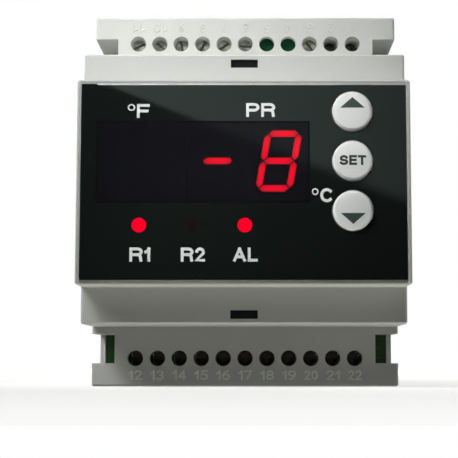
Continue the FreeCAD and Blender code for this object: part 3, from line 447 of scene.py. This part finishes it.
# The frame's rim carries painted shade along the bottom and painted light at the sides.
dress(moulded("frame grey", CASE_TONE, roughness=0.52, gloss=0.25, shade=rim_grey_and_painted_shade), "front_frame")
dress(moulded("clip grey", (0.40, 0.41, 0.40), roughness=0.45), "rail_clip")
dress(key_grey, "key_up", "key_set", "key_down")

# %% Inner mouldings
terminal_green = moulded("terminal green", (0.0045, 0.078, 0.028), roughness=0.45, gloss=0.2)
dress(moulded("switch black", (0.02, 0.02, 0.021), roughness=0.4),
      "switch_up", "switch_set", "switch_down")
dress(moulded("plunger white", (0.74, 0.73, 0.69), roughness=0.4),
      "plunger_up", "plunger_set", "plunger_down")
dress(moulded("package black", (0.018, 0.018, 0.02), roughness=0.6, fineness=6000.0),
      "microcontroller", "bridge_rectifier", "voltage_regulator", "board_link")
dress(moulded("relay blue", (0.03, 0.07, 0.27), roughness=0.38),
      "relay_upper", "relay_middle", "relay_lower")
dress(terminal_green, "terminal_block_top_left", "terminal_block_top_right", "terminal_block_bottom")
dress(moulded("sleeve navy", (0.012, 0.018, 0.05), roughness=0.25, relief=0.02),
      "reservoir_capacitor", "smoothing_capacitor")
dress(moulded("digit black", (0.006, 0.006, 0.007), roughness=0.6, gloss=0.1),
      "digit_left", "digit_middle", "digit_right")
dress(moulded("lamp red", (0.45, 0.02, 0.03), roughness=0.2, relief=0.0),
      "indicator_left", "indicator_middle", "indicator_right")

# %% [markdown]
# ## The black front and the smoked window
# The front is a thin printed sheet, glossy and flat as a mirror, and the window over the digits is smoked
# clear plastic with a coating that takes most of its gloss away. The sheet needs very little colour and a
# low, slightly patchy roughness. In the window light really passes through, is tinted on the way, and the
# digits behind it shine out. Its low refraction stands for the coating, and a little of it scatters as a
# haze. Its cut edges are blackened, which the sideways part of the normal tells, so the digits don't shine
# into them.


# %% Front sheet and window
def polished(tree, tone, drift):
    """Grain for a smooth glossy piece: a low, slightly patchy roughness and a drifting tone."""
    return use_group(tree, grain, Place=place_of(tree), Tone=tone, Drift=drift, Fineness=900.0,
                     Roughness=0.025, Unevenness=0.02)


front_black, tree, shader = new_finish("front black", IOR=1.5)
skin = polished(tree, rgb(0.0105, 0.0135, 0.0125), 0.3)
feed(tree, shader, Base_Color=skin["Tone"], Roughness=skin["Roughness"])
dress(front_black, "front_overlay")

window_smoke, tree, shader = new_finish("window smoke", Transmission_Weight=0.945, IOR=1.22, Metallic=0.0)
skin = polished(tree, rgb(0.16, 0.16, 0.2), 0.1)
forward = split_of(tree, add(tree, "ShaderNodeNewGeometry").outputs["True Normal"])["Y"]
flat = sum_of(tree, "MULTIPLY", forward, forward)
feed(tree, shader, Base_Color=scaled(tree, skin["Tone"], flat), Roughness=skin["Roughness"])
dress(window_smoke, "display_lens")

# %% [markdown]
# ## Metal
# The clamp screws and cages are nickel-plated steel. A turned screw end shows fine rings about its own
# centre. All the screws share one mesh, so the centre is found by arithmetic: the position across is folded
# at the terminal pitch, the height is folded about the middle, and what is left is the distance from the
# nearest screw's axis. The slots and the screws that lie deeper are painted dimmer, and the lower row all
# but black, by position: painted shade for the slots, the deep holes and the shade under the nose. The
# core's laminations and the winding's turns are bands of a wave.


# %% Bare metal
def metal(name, tone, roughness, height, strength, drift=0.3, shade=None):
    """Bare metal: grain for tone and roughness, and a bump from a height that a function adds to the tree.

    A function may be given that shades the tone of some part of the piece."""
    material, tree, shader = new_finish(name, Metallic=1.0)
    place = place_of(tree)
    skin = use_group(tree, grain, Place=place, Tone=rgb(*tone), Drift=drift, Fineness=2500.0,
                     Roughness=roughness, Unevenness=0.25)
    bump = add(tree, "ShaderNodeBump", Strength=strength, Distance=0.0001, Height=height(tree, place))
    toned = shade(tree, place, skin["Tone"]) if shade else skin["Tone"]
    feed(tree, shader, Base_Color=toned, Roughness=skin["Roughness"], Normal=bump.outputs["Normal"])
    return material


def banded(direction, scale):
    """Bands across one axis, as stacked plates or wound turns give."""
    def bands(tree, place):
        wave = add(tree, "ShaderNodeTexWave", {"bands_direction": direction}, Vector=place, Scale=scale)
        return wave.outputs["Fac"]
    return bands


dress(metal("core laminations", (0.16, 0.15, 0.15), 0.5, banded("Z", 320.0), 0.4), "transformer_core")
dress(metal("varnished copper", (0.62, 0.27, 0.12), 0.35, banded("Y", 500.0), 0.6), "transformer_winding")

# %% Screws and cages
PITCH = 5.08 * MM
ROW_UP = 37.2 * MM
RINGS = 42000.0
# Painted shade for the screws: dim in slots and deep holes, near black on the lower row in the nose's shade.
SLOT_PAINTED_SHADE = rgb(0.2, 0.185, 0.15)
LOWER_ROW_PAINTED_SHADE = rgb(0.016, 0.014, 0.012)


def turned(tree, place):
    """Rings sin(k r), with r the distance from the nearest screw's axis."""
    split = split_of(tree, place)
    folded = sum_of(tree, "FLOORED_MODULO", sum_of(tree, "ADD", split["X"], PITCH / 2), PITCH)
    aside = sum_of(tree, "SUBTRACT", folded, PITCH / 2)
    above = sum_of(tree, "SUBTRACT", sum_of(tree, "ABSOLUTE", split["Z"], 0.0), ROW_UP)
    reach = length_of(tree, add(tree, "ShaderNodeCombineXYZ", X=aside, Z=above).outputs[0])
    return sum_of(tree, "SINE", sum_of(tree, "MULTIPLY", reach, RINGS), 0.0)


def screw_painted_shade(tree, place, tone):
    """Painted shade: dimmer in the slots and on deep screws, which y behind the open screws' ends tells, and
    dark below.
    """
    split = split_of(tree, place)
    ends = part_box("terminal_screws")[0][1]
    deep = sum_of(tree, "GREATER_THAN", split["Y"], ends + 0.12 * MM)
    low = sum_of(tree, "LESS_THAN", split["Z"], 0.0)
    return blend(tree, low, blend(tree, deep, tone, SLOT_PAINTED_SHADE), LOWER_ROW_PAINTED_SHADE)


dress(metal("nickel", (0.56, 0.54, 0.48), 0.17, turned, 0.12), "clamp_cages")
dress(metal("screw nickel", (0.47, 0.43, 0.37), 0.17, turned, 0.12, shade=screw_painted_shade), "terminal_screws")

# %% [markdown]
# ## The circuit boards
# The main board shows as a slip of green in the lower corner notches. Under green lacquer the copper tracks
# stand a little proud and look lighter. Tracks could be modelled one by one, but at this size a pattern
# does: a brick texture, whose joints are the gaps.

# %% Lacquered board
board_green, tree, shader = new_finish("board green", Specular_IOR_Level=0.15)
place = place_of(tree)
turn = add(tree, "ShaderNodeMapping", Vector=place, Rotation=(math.radians(90), 0, 0)).outputs[0]
tracks = add(tree, "ShaderNodeTexBrick", {"offset": 0.35}, Vector=turn, Color1=rgb(0.018, 0.07, 0.016),
             Color2=rgb(0.015, 0.058, 0.013), Mortar=rgb(0.01, 0.038, 0.009), Scale=220.0,
             Mortar_Size=0.02).outputs
skin = use_group(tree, grain, Place=place, Tone=tracks["Color"], Roughness=0.3, Drift=0.3)
bump = add(tree, "ShaderNodeBump", Strength=0.4, Distance=0.0001, Height=tracks["Fac"])
feed(tree, shader, Base_Color=skin["Tone"], Roughness=skin["Roughness"], Normal=bump.outputs["Normal"])
dress(board_green, "main_board", "display_board")

# %% [markdown]
# ## Shapes from rings
# The bars, lamp windows, key marks and letters are all small closed shapes. Each is a stack of rings: every
# ring is a closed loop of points, neighbouring rings are joined by four-sided faces, and the first and last
# ring are filled, unless the stack runs round into itself. Stating a shape as one array of rings keeps it a
# formula, and the sign of the enclosed volume tells whether the faces already point outwards.


# %% Closed shapes from rings
def ring_stack(rings, round_and_round=False):
    """Surface through rings (count, points, 3): face i, j joins points j and j + 1 of rings i and i + 1."""
    count, points, _ = rings.shape
    index = np.arange(count * points).reshape(count, points)
    ahead = np.roll(index, -1, axis=0)
    if not round_and_round:
        index, ahead = index[:-1], ahead[:-1]
    corners = [index, np.roll(index, -1, axis=1), np.roll(ahead, -1, axis=1), ahead]
    quads = np.stack(corners, axis=-1).reshape(-1, 4)
    flat = rings.reshape(-1, 3)
    faces = quads.tolist()
    a, b, c, d = (flat[quads] - flat.mean(axis=0)).transpose(1, 0, 2)
    volume = (a * (np.cross(b, c) + np.cross(c, d))).sum()
    if not round_and_round:
        ends = np.stack([index[0, ::-1], ahead[-1]])
        faces += ends.tolist()
        loops = flat[ends] - flat.mean(axis=0)
        volume += (loops[:, :1] * np.cross(loops, np.roll(loops, -1, axis=1))).sum()
    return flat, faces if volume > 0 else [face[::-1] for face in faces]


def plate(outline, front, thick, shoulder, inner=0):
    """Plate with a rounded rim: an outline (points, 2) shrinks by r (1 - cos t) as it rises by r sin t.

    Inner rings may follow, evenly towards the middle, for a plate that is bent over a curved face."""
    turn = np.linspace(0, np.pi / 2, 4)
    middle = outline.mean(axis=0)
    radius = np.linalg.norm(outline - middle, axis=1).max()
    inwards = np.linspace(shoulder, radius * 0.98, inner + 1)[1:]
    inset = np.concatenate([[0.0], shoulder * (1 - np.cos(turn)), inwards])
    rise = np.concatenate([[0.0], thick - shoulder + shoulder * np.sin(turn), np.full(inner, thick)])
    flat = middle + (outline - middle)[None] * (1 - inset / radius)[:, None, None]
    forward = np.broadcast_to((front - rise)[:, None], flat.shape[:2])
    return ring_stack(np.stack([flat[..., 0], forward, flat[..., 1]], axis=-1))


print("ring shapes ready")


# %% Pieces from shapes
def new_piece(name, parts, material, body):
    """One mesh from several (points in mm, faces) parts, riding on a body."""
    points = np.concatenate([part[0] for part in parts]) * MM
    starts = np.cumsum([0] + [len(part[0]) for part in parts])
    faces = [[start + corner for corner in face]
             for (_, loops), start in zip(parts, starts) for face in loops]
    mesh = bpy.data.meshes.new(name)
    mesh.from_pydata(points.tolist(), [], faces)
    mesh.materials.append(material)
    item = bpy.data.objects.new(name, mesh)
    scene.collection.objects.link(item)
    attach(item, body)
    print(name, "with", len(faces), "faces on", body)
    return item


def middle_of(node):
    """Middle of a CAD node across and up, in mm."""
    low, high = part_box(node)
    return (low.x + high.x) / 2 / MM, (low.z + high.z) / 2 / MM


print("piece helpers ready")

# %% [markdown]
# ## The red digits
# Each digit has seven slanted bars with pointed ends, lit from behind by chips. On the object they show a
# minus sign and an eight, and the left digit is dark. A bar is a long hexagon: its half width is constant
# and shrinks to nothing at the ends at 45 degrees. The glow falls off towards the rim, which an attribute
# on the points records for the shader to read, so the plate has inner rings that carry it.

# %% Shape of a bar
SLANT = math.tan(math.radians(10.0))
HALF_ACROSS = 3.3
HALF_UP = 5.92
BAR = 1.42
SPARE = 0.14
BAR_THICK = 0.12
BAR_SHOULDER = 0.06
DIGIT_UP = 4.8
DIGIT_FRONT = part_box("digit_right")[0][1] / MM
BARS = {"top": (0, 1, 0), "centre": (0, 0, 0), "bottom": (0, -1, 0), "upper_left": (-1, 0.5, 1),
        "upper_right": (1, 0.5, 1), "lower_left": (-1, -0.5, 1), "lower_right": (1, -0.5, 1)}


def bar(side, name):
    """Slanted hexagon: half width min(b, l - |t|) at distance t along, then x grows by z times the slant."""
    across, up, upright = BARS[name]
    long = (HALF_UP / 2 if upright else HALF_ACROSS) - SPARE
    wide = BAR / 2
    along = np.array([-long, wide - long, long - wide, long, long - wide, wide - long])
    aside = np.array([0.0, -wide, -wide, 0.0, wide, wide])
    x, z = (aside, along) if upright else (along, -aside)
    x, z = x + across * HALF_ACROSS, z + up * HALF_UP
    outline = np.stack([x + z * SLANT + middle_of(f"digit_{side}")[0], z + DIGIT_UP], axis=-1)
    return plate(outline, DIGIT_FRONT, BAR_THICK, BAR_SHOULDER, inner=6)


print(len(BARS), "bars to a digit")

# %% Lit and dark bars
GLOW_LOSS = 0.55


def bars(side, names, material, state):
    """One piece of the bars of a digit that share a state; glow is 1 - k s cubed, s the share of the rim."""
    parts = [bar(side, name) for name in names]
    item = new_piece(f"bars_{side}_{state}", parts, material, "case")
    corners = np.stack([points for points, _ in parts]).reshape(len(parts), -1, 6, 3)[..., ::2]
    reach = np.linalg.norm(corners - corners.mean(axis=(1, 2), keepdims=True), axis=-1)
    glow = (1 - GLOW_LOSS * (reach / reach[:, :1]) ** 3).ravel()
    item.data.attributes.new("glow", "FLOAT", "POINT").data.foreach_set("value", glow)


lit_red, tree, shader = new_finish("lit red", Base_Color=rgb(0.3, 0.005, 0.01), Roughness=0.5,
                                   Emission_Strength=6.2)
glow = add(tree, "ShaderNodeAttribute", {"attribute_name": "glow"}).outputs["Fac"]
feed(tree, shader, Emission_Color=scaled(tree, (1.0, 0.0, 0.015), glow))
dark_bar = moulded("dark bar", (0.007, 0.005, 0.005), roughness=0.6, rub=0.0, film=0.0, gloss=0.1)
bars("left", BARS, dark_bar, "dark")
bars("middle", ["centre"], lit_red, "lit")
bars("middle", [name for name in BARS if name != "centre"], dark_bar, "dark")
bars("right", BARS, lit_red, "lit")

# %% [markdown]
# ## The lamp windows
# Three round windows in the black sheet show the state of the outputs. The outer two are lit, and the
# middle one is so dark that it is hard to see. They are discs of tinted print, a few hundredths of a
# millimetre thick.

# %% Lamp windows
LAMP_RADIUS = 1.56
PRINT = 0.03
PRINT_EDGE = 0.01
SHEET_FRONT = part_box("front_overlay")[0][1] / MM


def disc(centre, radius, steps=48):
    """Outline (x, z) = centre + radius (cos t, sin t)."""
    turn = np.linspace(0, 2 * np.pi, steps, endpoint=False)
    return np.stack([np.cos(turn), np.sin(turn)], axis=-1) * radius + centre


window_red, tree, shader = new_finish("window red", Base_Color=rgb(0.02, 0.001, 0.001), Roughness=0.1,
                                      Specular_IOR_Level=0.2, Emission_Strength=1.0)
cloud = noise(tree, place_of(tree), 600.0)
feed(tree, shader, Emission_Color=blend(tree, cloud, rgb(0.92, 0.0, 0.018), rgb(1.0, 0.0, 0.026)))
window_dark = moulded("window dark", (0.016, 0.008, 0.008), roughness=0.06, unevenness=0.02, relief=0.0,
                      rub=0.0, film=0.0, gloss=0.5)
for side, material in (("left", window_red), ("middle", window_dark), ("right", window_red)):
    window = plate(disc(middle_of(f"indicator_{side}"), LAMP_RADIUS), SHEET_FRONT, PRINT, PRINT_EDGE)
    new_piece(f"lamp_window_{side}", [window], material, "case")

# %% [markdown]
# ## Signs drawn with strokes
# The legends are white screen print, the marks on the keys are dark print, and the terminal numbers stand
# proud of the moulding. A text object would do, but its letters are not those of the object. So each sign
# is a few strokes, lines and arcs in a unit box, and a flat bar of constant width is carried along each
# stroke. At a corner the bar is mitred: it is moved sideways along the bisector, further the sharper the
# corner.


# %% Strokes of the signs
def arc(across, up, wide, tall, start, stop):
    """Arc of an ellipse: (across + wide cos t, up + tall sin t), with t from start to stop in degrees."""
    turn = np.radians(np.linspace(start, stop, 20))
    return np.stack([across + wide * np.cos(turn), up + tall * np.sin(turn)], axis=-1)


def run(*steps):
    """One stroke from single points and arcs in order."""
    return np.concatenate([np.atleast_2d(np.array(step, float)) for step in steps])


bowl = run((0, 1), arc(0.62, 0.745, 0.38, 0.255, 90, -90), (0, 0.49))
SIGNS = {
    "°": [arc(0.5, 0.78, 0.5, 0.22, 0, 360)],
    "F": [run((0, 0), (0, 1), (1, 1)), run((0, 0.5), (0.88, 0.5))],
    "P": [run((0, 0), (0, 1)), bowl],
    "R": [run((0, 0), (0, 1)), bowl, run((0.6, 0.49), arc(0.62, 0.25, 0.3, 0.24, 60, 0), (0.96, 0))],
    "C": [arc(0.5, 0.5, 0.5, 0.5, 48, 312)],
    "S": [run(arc(0.5, 0.745, 0.46, 0.255, 20, 270), arc(0.5, 0.245, 0.5, 0.245, 88, -160))],
    "E": [run((1, 1), (0, 1), (0, 0), (1, 0)), run((0, 0.51), (0.92, 0.51))],
    "T": [run((0, 1), (1, 1)), run((0.5, 0), (0.5, 1))],
    "A": [run((0, 0), (0.5, 1)), run((1, 0), (0.5, 1)), run((0.2, 0.3), (0.8, 0.3))],
    "L": [run((0, 1), (0, 0), (1, 0))],
    "0": [arc(0.5, 0.5, 0.5, 0.5, 0, 360)],
    "1": [run((0, 0.74), (0.5, 0.8), (1, 1)), run((1, 1), (1, 0))],
    "2": [run(arc(0.5, 0.72, 0.48, 0.28, 165, -30), (0, 0), (1, 0))],
    "3": [arc(0.48, 0.745, 0.44, 0.255, 155, -90), arc(0.48, 0.245, 0.5, 0.245, 90, -155)],
    "4": [run((0.78, 0), (0.78, 1)), run((0.78, 1), (0, 0.28), (1, 0.28))],
    "5": [run((0.95, 1), (0.16, 1), (0.06, 0.5), arc(0.48, 0.31, 0.5, 0.31, 130, -155))],
    "6": [arc(0.5, 0.3, 0.5, 0.3, 0, 360), arc(0.86, 0.3, 0.86, 0.7, 92, 180)],
    "7": [run((0, 1), (1, 1), (0.35, 0))],
    "8": [arc(0.5, 0.755, 0.43, 0.245, 0, 360), arc(0.5, 0.255, 0.5, 0.255, 0, 360)],
}
SIGNS["9"] = [1 - stroke for stroke in SIGNS["6"]]
print(len(SIGNS), "signs,", sum(len(strokes) for strokes in SIGNS.values()), "strokes")


# %% Bars along the strokes
def finer(corners, steps, closed=False):
    """Even steps along each side of a run of corners; an open run ends at its last corner."""
    ahead = np.roll(corners, -1, axis=0)
    part = np.linspace(0, 1, steps, endpoint=False)[None, :, None]
    along = (corners[:, None] * (1 - part) + ahead[:, None] * part).reshape(-1, 2)
    return along if closed else along[:1 - steps or None]


def ribbon(path, half, front, thick, taper):
    """Bar along a path: path plus and minus half at the back, and plus and minus taper times half in front.

    The ends of an open path are carried on by half."""
    closed = np.allclose(path[0], path[-1])
    path = path[:-1] if closed else path.copy()
    before, after = path - np.roll(path, 1, axis=0), np.roll(path, -1, axis=0) - path
    if not closed:
        before[0], after[-1] = after[0], before[-1]
    before /= np.linalg.norm(before, axis=1, keepdims=True)
    after /= np.linalg.norm(after, axis=1, keepdims=True)
    if not closed:
        path[0] -= half * after[0]
        path[-1] += half * before[-1]
    along = before + after
    along /= np.linalg.norm(along, axis=1, keepdims=True)
    reach = half / np.maximum((along * after).sum(axis=1, keepdims=True), 0.6)
    aside = np.stack([-along[:, 1], along[:, 0]], axis=-1) * reach
    corners = np.stack([path - aside, path + aside, path + taper * aside, path - taper * aside], axis=1)
    depth = np.broadcast_to(front - np.array([0, 0, thick, thick]), corners.shape[:2])
    return ring_stack(np.stack([corners[..., 0], depth, corners[..., 1]], axis=-1), closed)


print("stroke helpers ready")

# %% Words of signs
WIDTHS = {"°": 0.47, "F": 0.8, "P": 0.86, "R": 0.9, "C": 0.92, "S": 0.88, "E": 0.8, "T": 0.84, "A": 0.92,
          "L": 0.72, "1": 0.4}
USUAL_WIDTH = 0.7
GAP = 0.11
RING_PEN = 0.48
LAP = 0.004


def signs(words, room, stroke, front, thick, taper=1.0, on_its_head=False, steps=1):
    """Signs side by side, stretched to fill a room (left, low, right, high).

    Later strokes lie a hair higher, so that no two faces share a plane."""
    left, low, right, high = room
    wide = np.array([WIDTHS.get(sign, USUAL_WIDTH) for sign in words])
    starts = np.cumsum(wide + GAP) - wide - GAP
    stretch = (right - left) / (starts[-1] + wide[-1])
    parts = []
    for sign, start, width in zip(words, starts * stretch, wide * stretch):
        pen = stroke * (RING_PEN if sign == "°" else 1.0)
        for order, path in enumerate(SIGNS[sign]):
            flat = path * (width - pen, high - low - pen) + (left + start + pen / 2, low + pen / 2)
            if on_its_head:
                flat = np.array([left + right, low + high]) - flat
            parts.append(ribbon(finer(flat, steps), pen / 2, front, thick + LAP * order, taper))
    return parts


print("widths of", len(WIDTHS), "signs differ from the usual")

# %% Legends
LEGEND_PEN = 0.62
LEGENDS = {"f": ("°F", (-24.7, 13.6, -20.0, 16.6)), "pr": ("PR", (0.5, 13.8, 6.7, 16.8)),
           "c": ("°C", (14.4, -4.5, 19.0, -1.5)), "r1": ("R1", (-24.0, -17.1, -19.6, -14.1)),
           "r2": ("R2", (-13.2, -17.1, -8.1, -14.1)), "al": ("AL", (-2.2, -17.1, 3.0, -14.1))}
ink_white, tree, shader = new_finish("ink white", Specular_IOR_Level=0.3)
skin = use_group(tree, grain, Place=place_of(tree), Tone=rgb(0.93, 0.95, 0.94), Drift=0.08, Fineness=6000.0)
feed(tree, shader, Base_Color=skin["Tone"], Roughness=skin["Roughness"])
for name, (words, room) in LEGENDS.items():
    legend = signs(words, room, LEGEND_PEN, SHEET_FRONT, PRINT)
    new_piece(f"legend_{name}", legend, ink_white, "case")

# %% [markdown]
# ## Fine lines of the front
# Two thin lines set the front off. A matt black border hides the joint between the sheet and the window,
# and along the top the inner edge of the rim is a low ridge that catches the light, painted pale as a painted
# highlight and greyer towards the right as painted shade. Both are the same bar along a path as the
# letters: once round the window, and once straight along the rim.


# %% Window border
def oblong(left, low, right, high):
    """The four corners of an upright oblong, in order."""
    return np.array([(left, low), (right, low), (right, high), (left, high)])


LENS_LAP = 1.0
BORDER_HALF = 0.17
BORDER_THICK = 0.02
lens_low, lens_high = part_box("display_lens")
opening = oblong(lens_low.x / MM + LENS_LAP, lens_low.z / MM + LENS_LAP,
                 lens_high.x / MM - LENS_LAP, lens_high.z / MM - LENS_LAP)
border = ribbon(np.concatenate([opening, opening[:1]]), BORDER_HALF, SHEET_FRONT, BORDER_THICK, 1.0)
border_black = moulded("border black", (0.003, 0.003, 0.0035), roughness=0.7, rub=0.0, film=0.0, gloss=0.05)
new_piece("window_border", [border], border_black, "case")

# %% Rim ridge
RIDGE_LEFT, RIDGE_RIGHT = -31.0, 34.3
RIDGE_HALF = 0.15
RIDGE_THICK = 0.1
RIDGE_TAPER = 0.3


def painted_shade_to_right(tree, place, tone):
    """Painted shade: greyer from the middle of the front to its right end."""
    share = ramp(tree, split_of(tree, place)["X"], -0.01, 0.03)
    return blend(tree, share, tone, rgb(0.45, 0.46, 0.45))


rim_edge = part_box("front_overlay")[1][2] / MM - 0.05
line = np.array([(RIDGE_LEFT, rim_edge), (RIDGE_RIGHT, rim_edge)])
ridge = ribbon(line, RIDGE_HALF, SHEET_FRONT, RIDGE_THICK, RIDGE_TAPER)
# The ridge is painted pale as a painted highlight along the rim's inner edge, on top of the light its slope
# catches; it is painted greyer to the right as painted shade.
ridge_painted_highlight = moulded("ridge painted highlight", (0.93, 0.95, 0.93), roughness=0.35, rub=0.0, film=0.0, shade=painted_shade_to_right)
new_piece("rim_ridge", [ridge], ridge_painted_highlight, "case")

# %% [markdown]
# ## Crowned keys and their marks
# The face of each key is crowned, so it is lighter above and darker below in the photograph. The crown is a
# low paraboloid of revolution on the flat end of the key. The upper and lower keys carry a printed triangle
# and the middle one the word for setting. The marks are made flat and then bent over the crown by the same
# formula. They ride on their own key's body, because a mark on a moving key has to travel with it.

# %% Shape of a crown
CROWN = 0.28
CROWN_RADIUS = 3.74
KEY_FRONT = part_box("key_set")[0][1] / MM


def bent(part, centre):
    """Move points forward by h (1 - r r / R R), the crown's height at distance r from the key's axis."""
    points, faces = part
    reach = ((points[:, ::2] - centre) ** 2).sum(axis=1) / CROWN_RADIUS ** 2
    return points - np.stack([0 * reach, CROWN * (1 - reach), 0 * reach], axis=-1), faces


def crown(centre):
    """Paraboloid over a disc: rings shrink from the rim to the axis as they rise."""
    return bent(plate(disc(centre, CROWN_RADIUS), KEY_FRONT, 0.0, 0.0, inner=10), centre)


print("crowns", CROWN, "mm high")

# %% Crowns and key marks
ARROW = np.array([[-2.6, 0.65], [2.6, 0.65], [0.0, 2.95]])
WORD_HALF = (2.8, 1.05)
WORD_PEN = 0.5
ink_dark = moulded("ink dark", (0.03, 0.045, 0.04), roughness=0.5, relief=0.0, rub=0.0, film=0.0)


def room_about(centre, half):
    """Room (left, low, right, high) that reaches half a width and half a height from its centre."""
    return centre[0] - half[0], centre[1] - half[1], centre[0] + half[0], centre[1] + half[1]


for name, up in (("up", 1), ("set", 0), ("down", -1)):
    centre = middle_of(f"key_{name}")
    new_piece(f"crown_{name}", [crown(centre)], key_grey, f"key_{name}")
    if up:
        arrow = finer(ARROW * (1, up) + centre, 12, closed=True)
        marks = [plate(arrow, KEY_FRONT, PRINT, PRINT_EDGE, inner=8)]
    else:
        marks = signs("SET", room_about(centre, WORD_HALF), WORD_PEN, KEY_FRONT, PRINT, steps=4)
    new_piece(f"mark_{name}", [bent(mark, centre) for mark in marks], ink_dark, f"key_{name}")

# %% [markdown]
# ## Ways without a clamp
# Two holes of the upper row show flat green and no screw. There the row of green blocks is filled by a
# plain block without clamps. It stands on the board between its two neighbours, as tall as they are, and is
# made here as one rounded oblong that is carried forward from the board.

# %% Blank block
ROUND = 0.3
left_low, left_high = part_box("terminal_block_top_left")
right_low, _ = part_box("terminal_block_top_right")
foot_outline = oblong(left_high.x / MM + ROUND, left_low.z / MM + ROUND,
                      right_low.x / MM - ROUND, left_high.z / MM - ROUND)
board_face = left_high.y / MM
tall = board_face - left_low.y / MM
blank = plate(finer(foot_outline, 6, closed=True), board_face, tall, ROUND)
new_piece("blank_block", [blank], terminal_green, "case")

# %% [markdown]
# ## Slot plugs and hole linings
# A black oblong with a rounded rim is pressed into the slot in the middle of each step and set back a
# little, so that the slot shows black: a dark piece as painted shade for the slot's depth. The upper screw
# holes run on behind the wall as short grey tubes, which keep the driver on the screw. Each is a ring: a
# closed profile that is carried round the hole's axis, with a mouth as wide as the hole.

# %% Slot plugs
PLUG_BACK = -43.6
PLUG_THICK = 1.4
PLUG_SHOULDER = 0.08
SLOT = oblong(-2.98, 26.87, 2.98, 28.73)
# A black plug, as painted shade deep in each slot.
slot_plug_painted_shade = moulded("slot plug painted shade", (0.006, 0.007, 0.007), roughness=0.6, rub=0.05, film=0.0, gloss=0.1)
for name, up in (("top", 1), ("bottom", -1)):
    plug = plate(finer(SLOT * (1, up), 6, closed=True), PLUG_BACK, PLUG_THICK, PLUG_SHOULDER)
    new_piece(f"slot_plug_{name}", [plug], slot_plug_painted_shade, "case")

# %% Hole linings
WAYS = 11
EMPTY = (6, 7)
LINING = np.array([(1.81, -26.18), (1.59, -25.8), (1.59, -22.6), (1.68, -22.6), (1.68, -25.86), (2.1, -25.95),
                   (2.1, -26.18)])


def across_of(way):
    """Place of a terminal across, in mm, counted from the left."""
    return (way - WAYS // 2) * PITCH / MM


def lining(across, up, profile, steps=40):
    """Ring (across + r cos t, y, up + r sin t), with r and y along a closed profile."""
    turn = np.linspace(0, 2 * np.pi, steps, endpoint=False)[:, None]
    reach, depth = profile.T
    rings = [across + reach * np.cos(turn), depth + 0 * turn, up + reach * np.sin(turn)]
    return ring_stack(np.stack(rings, axis=-1), True)


linings = [lining(across_of(way), ROW_UP / MM, LINING) for way in range(WAYS) if way not in EMPTY]
new_piece("hole_linings", linings, case_grey, "case")

# %% [markdown]
# ## Terminal numbers
# The numbers along both ledges are part of the moulding, raised by a seventh of a millimetre or so with
# sloping sides. The lower row reads 12 to 22, and is painted paler than the moulding as a painted highlight
# on its relief. The upper row reads 1 to 11 from the right and stands on its head, since it is meant to be
# read by someone who looks at that end.

# %% Embossed numbers
LEDGE = -28.0
NUMBER_UP = 41.1
NUMBER_PEN = 0.42
SIGN_HALF = (0.8, 1.12)
# The lower numbers are painted pale as a painted highlight on their relief; the upper row keeps the case's
# tone.
number_painted_highlight = moulded("number painted highlight", (0.95, 0.96, 0.92), roughness=0.4, rub=0.0)
ROWS = (("top", 1, range(11, 0, -1), 0.12, 0.15, case_grey),
        ("bottom", -1, range(12, 23), 0.16, 0.6, number_painted_highlight))
for row, up, numbers, rise, taper, material in ROWS:
    parts = []
    for way, number in enumerate(map(str, numbers)):
        half = (SIGN_HALF[0] * len(number), SIGN_HALF[1])
        room = room_about((across_of(way), up * NUMBER_UP), half)
        parts += signs(number, room, NUMBER_PEN, LEDGE, rise, taper, up > 0)
    new_piece(f"numbers_{row}", parts, material, "case")
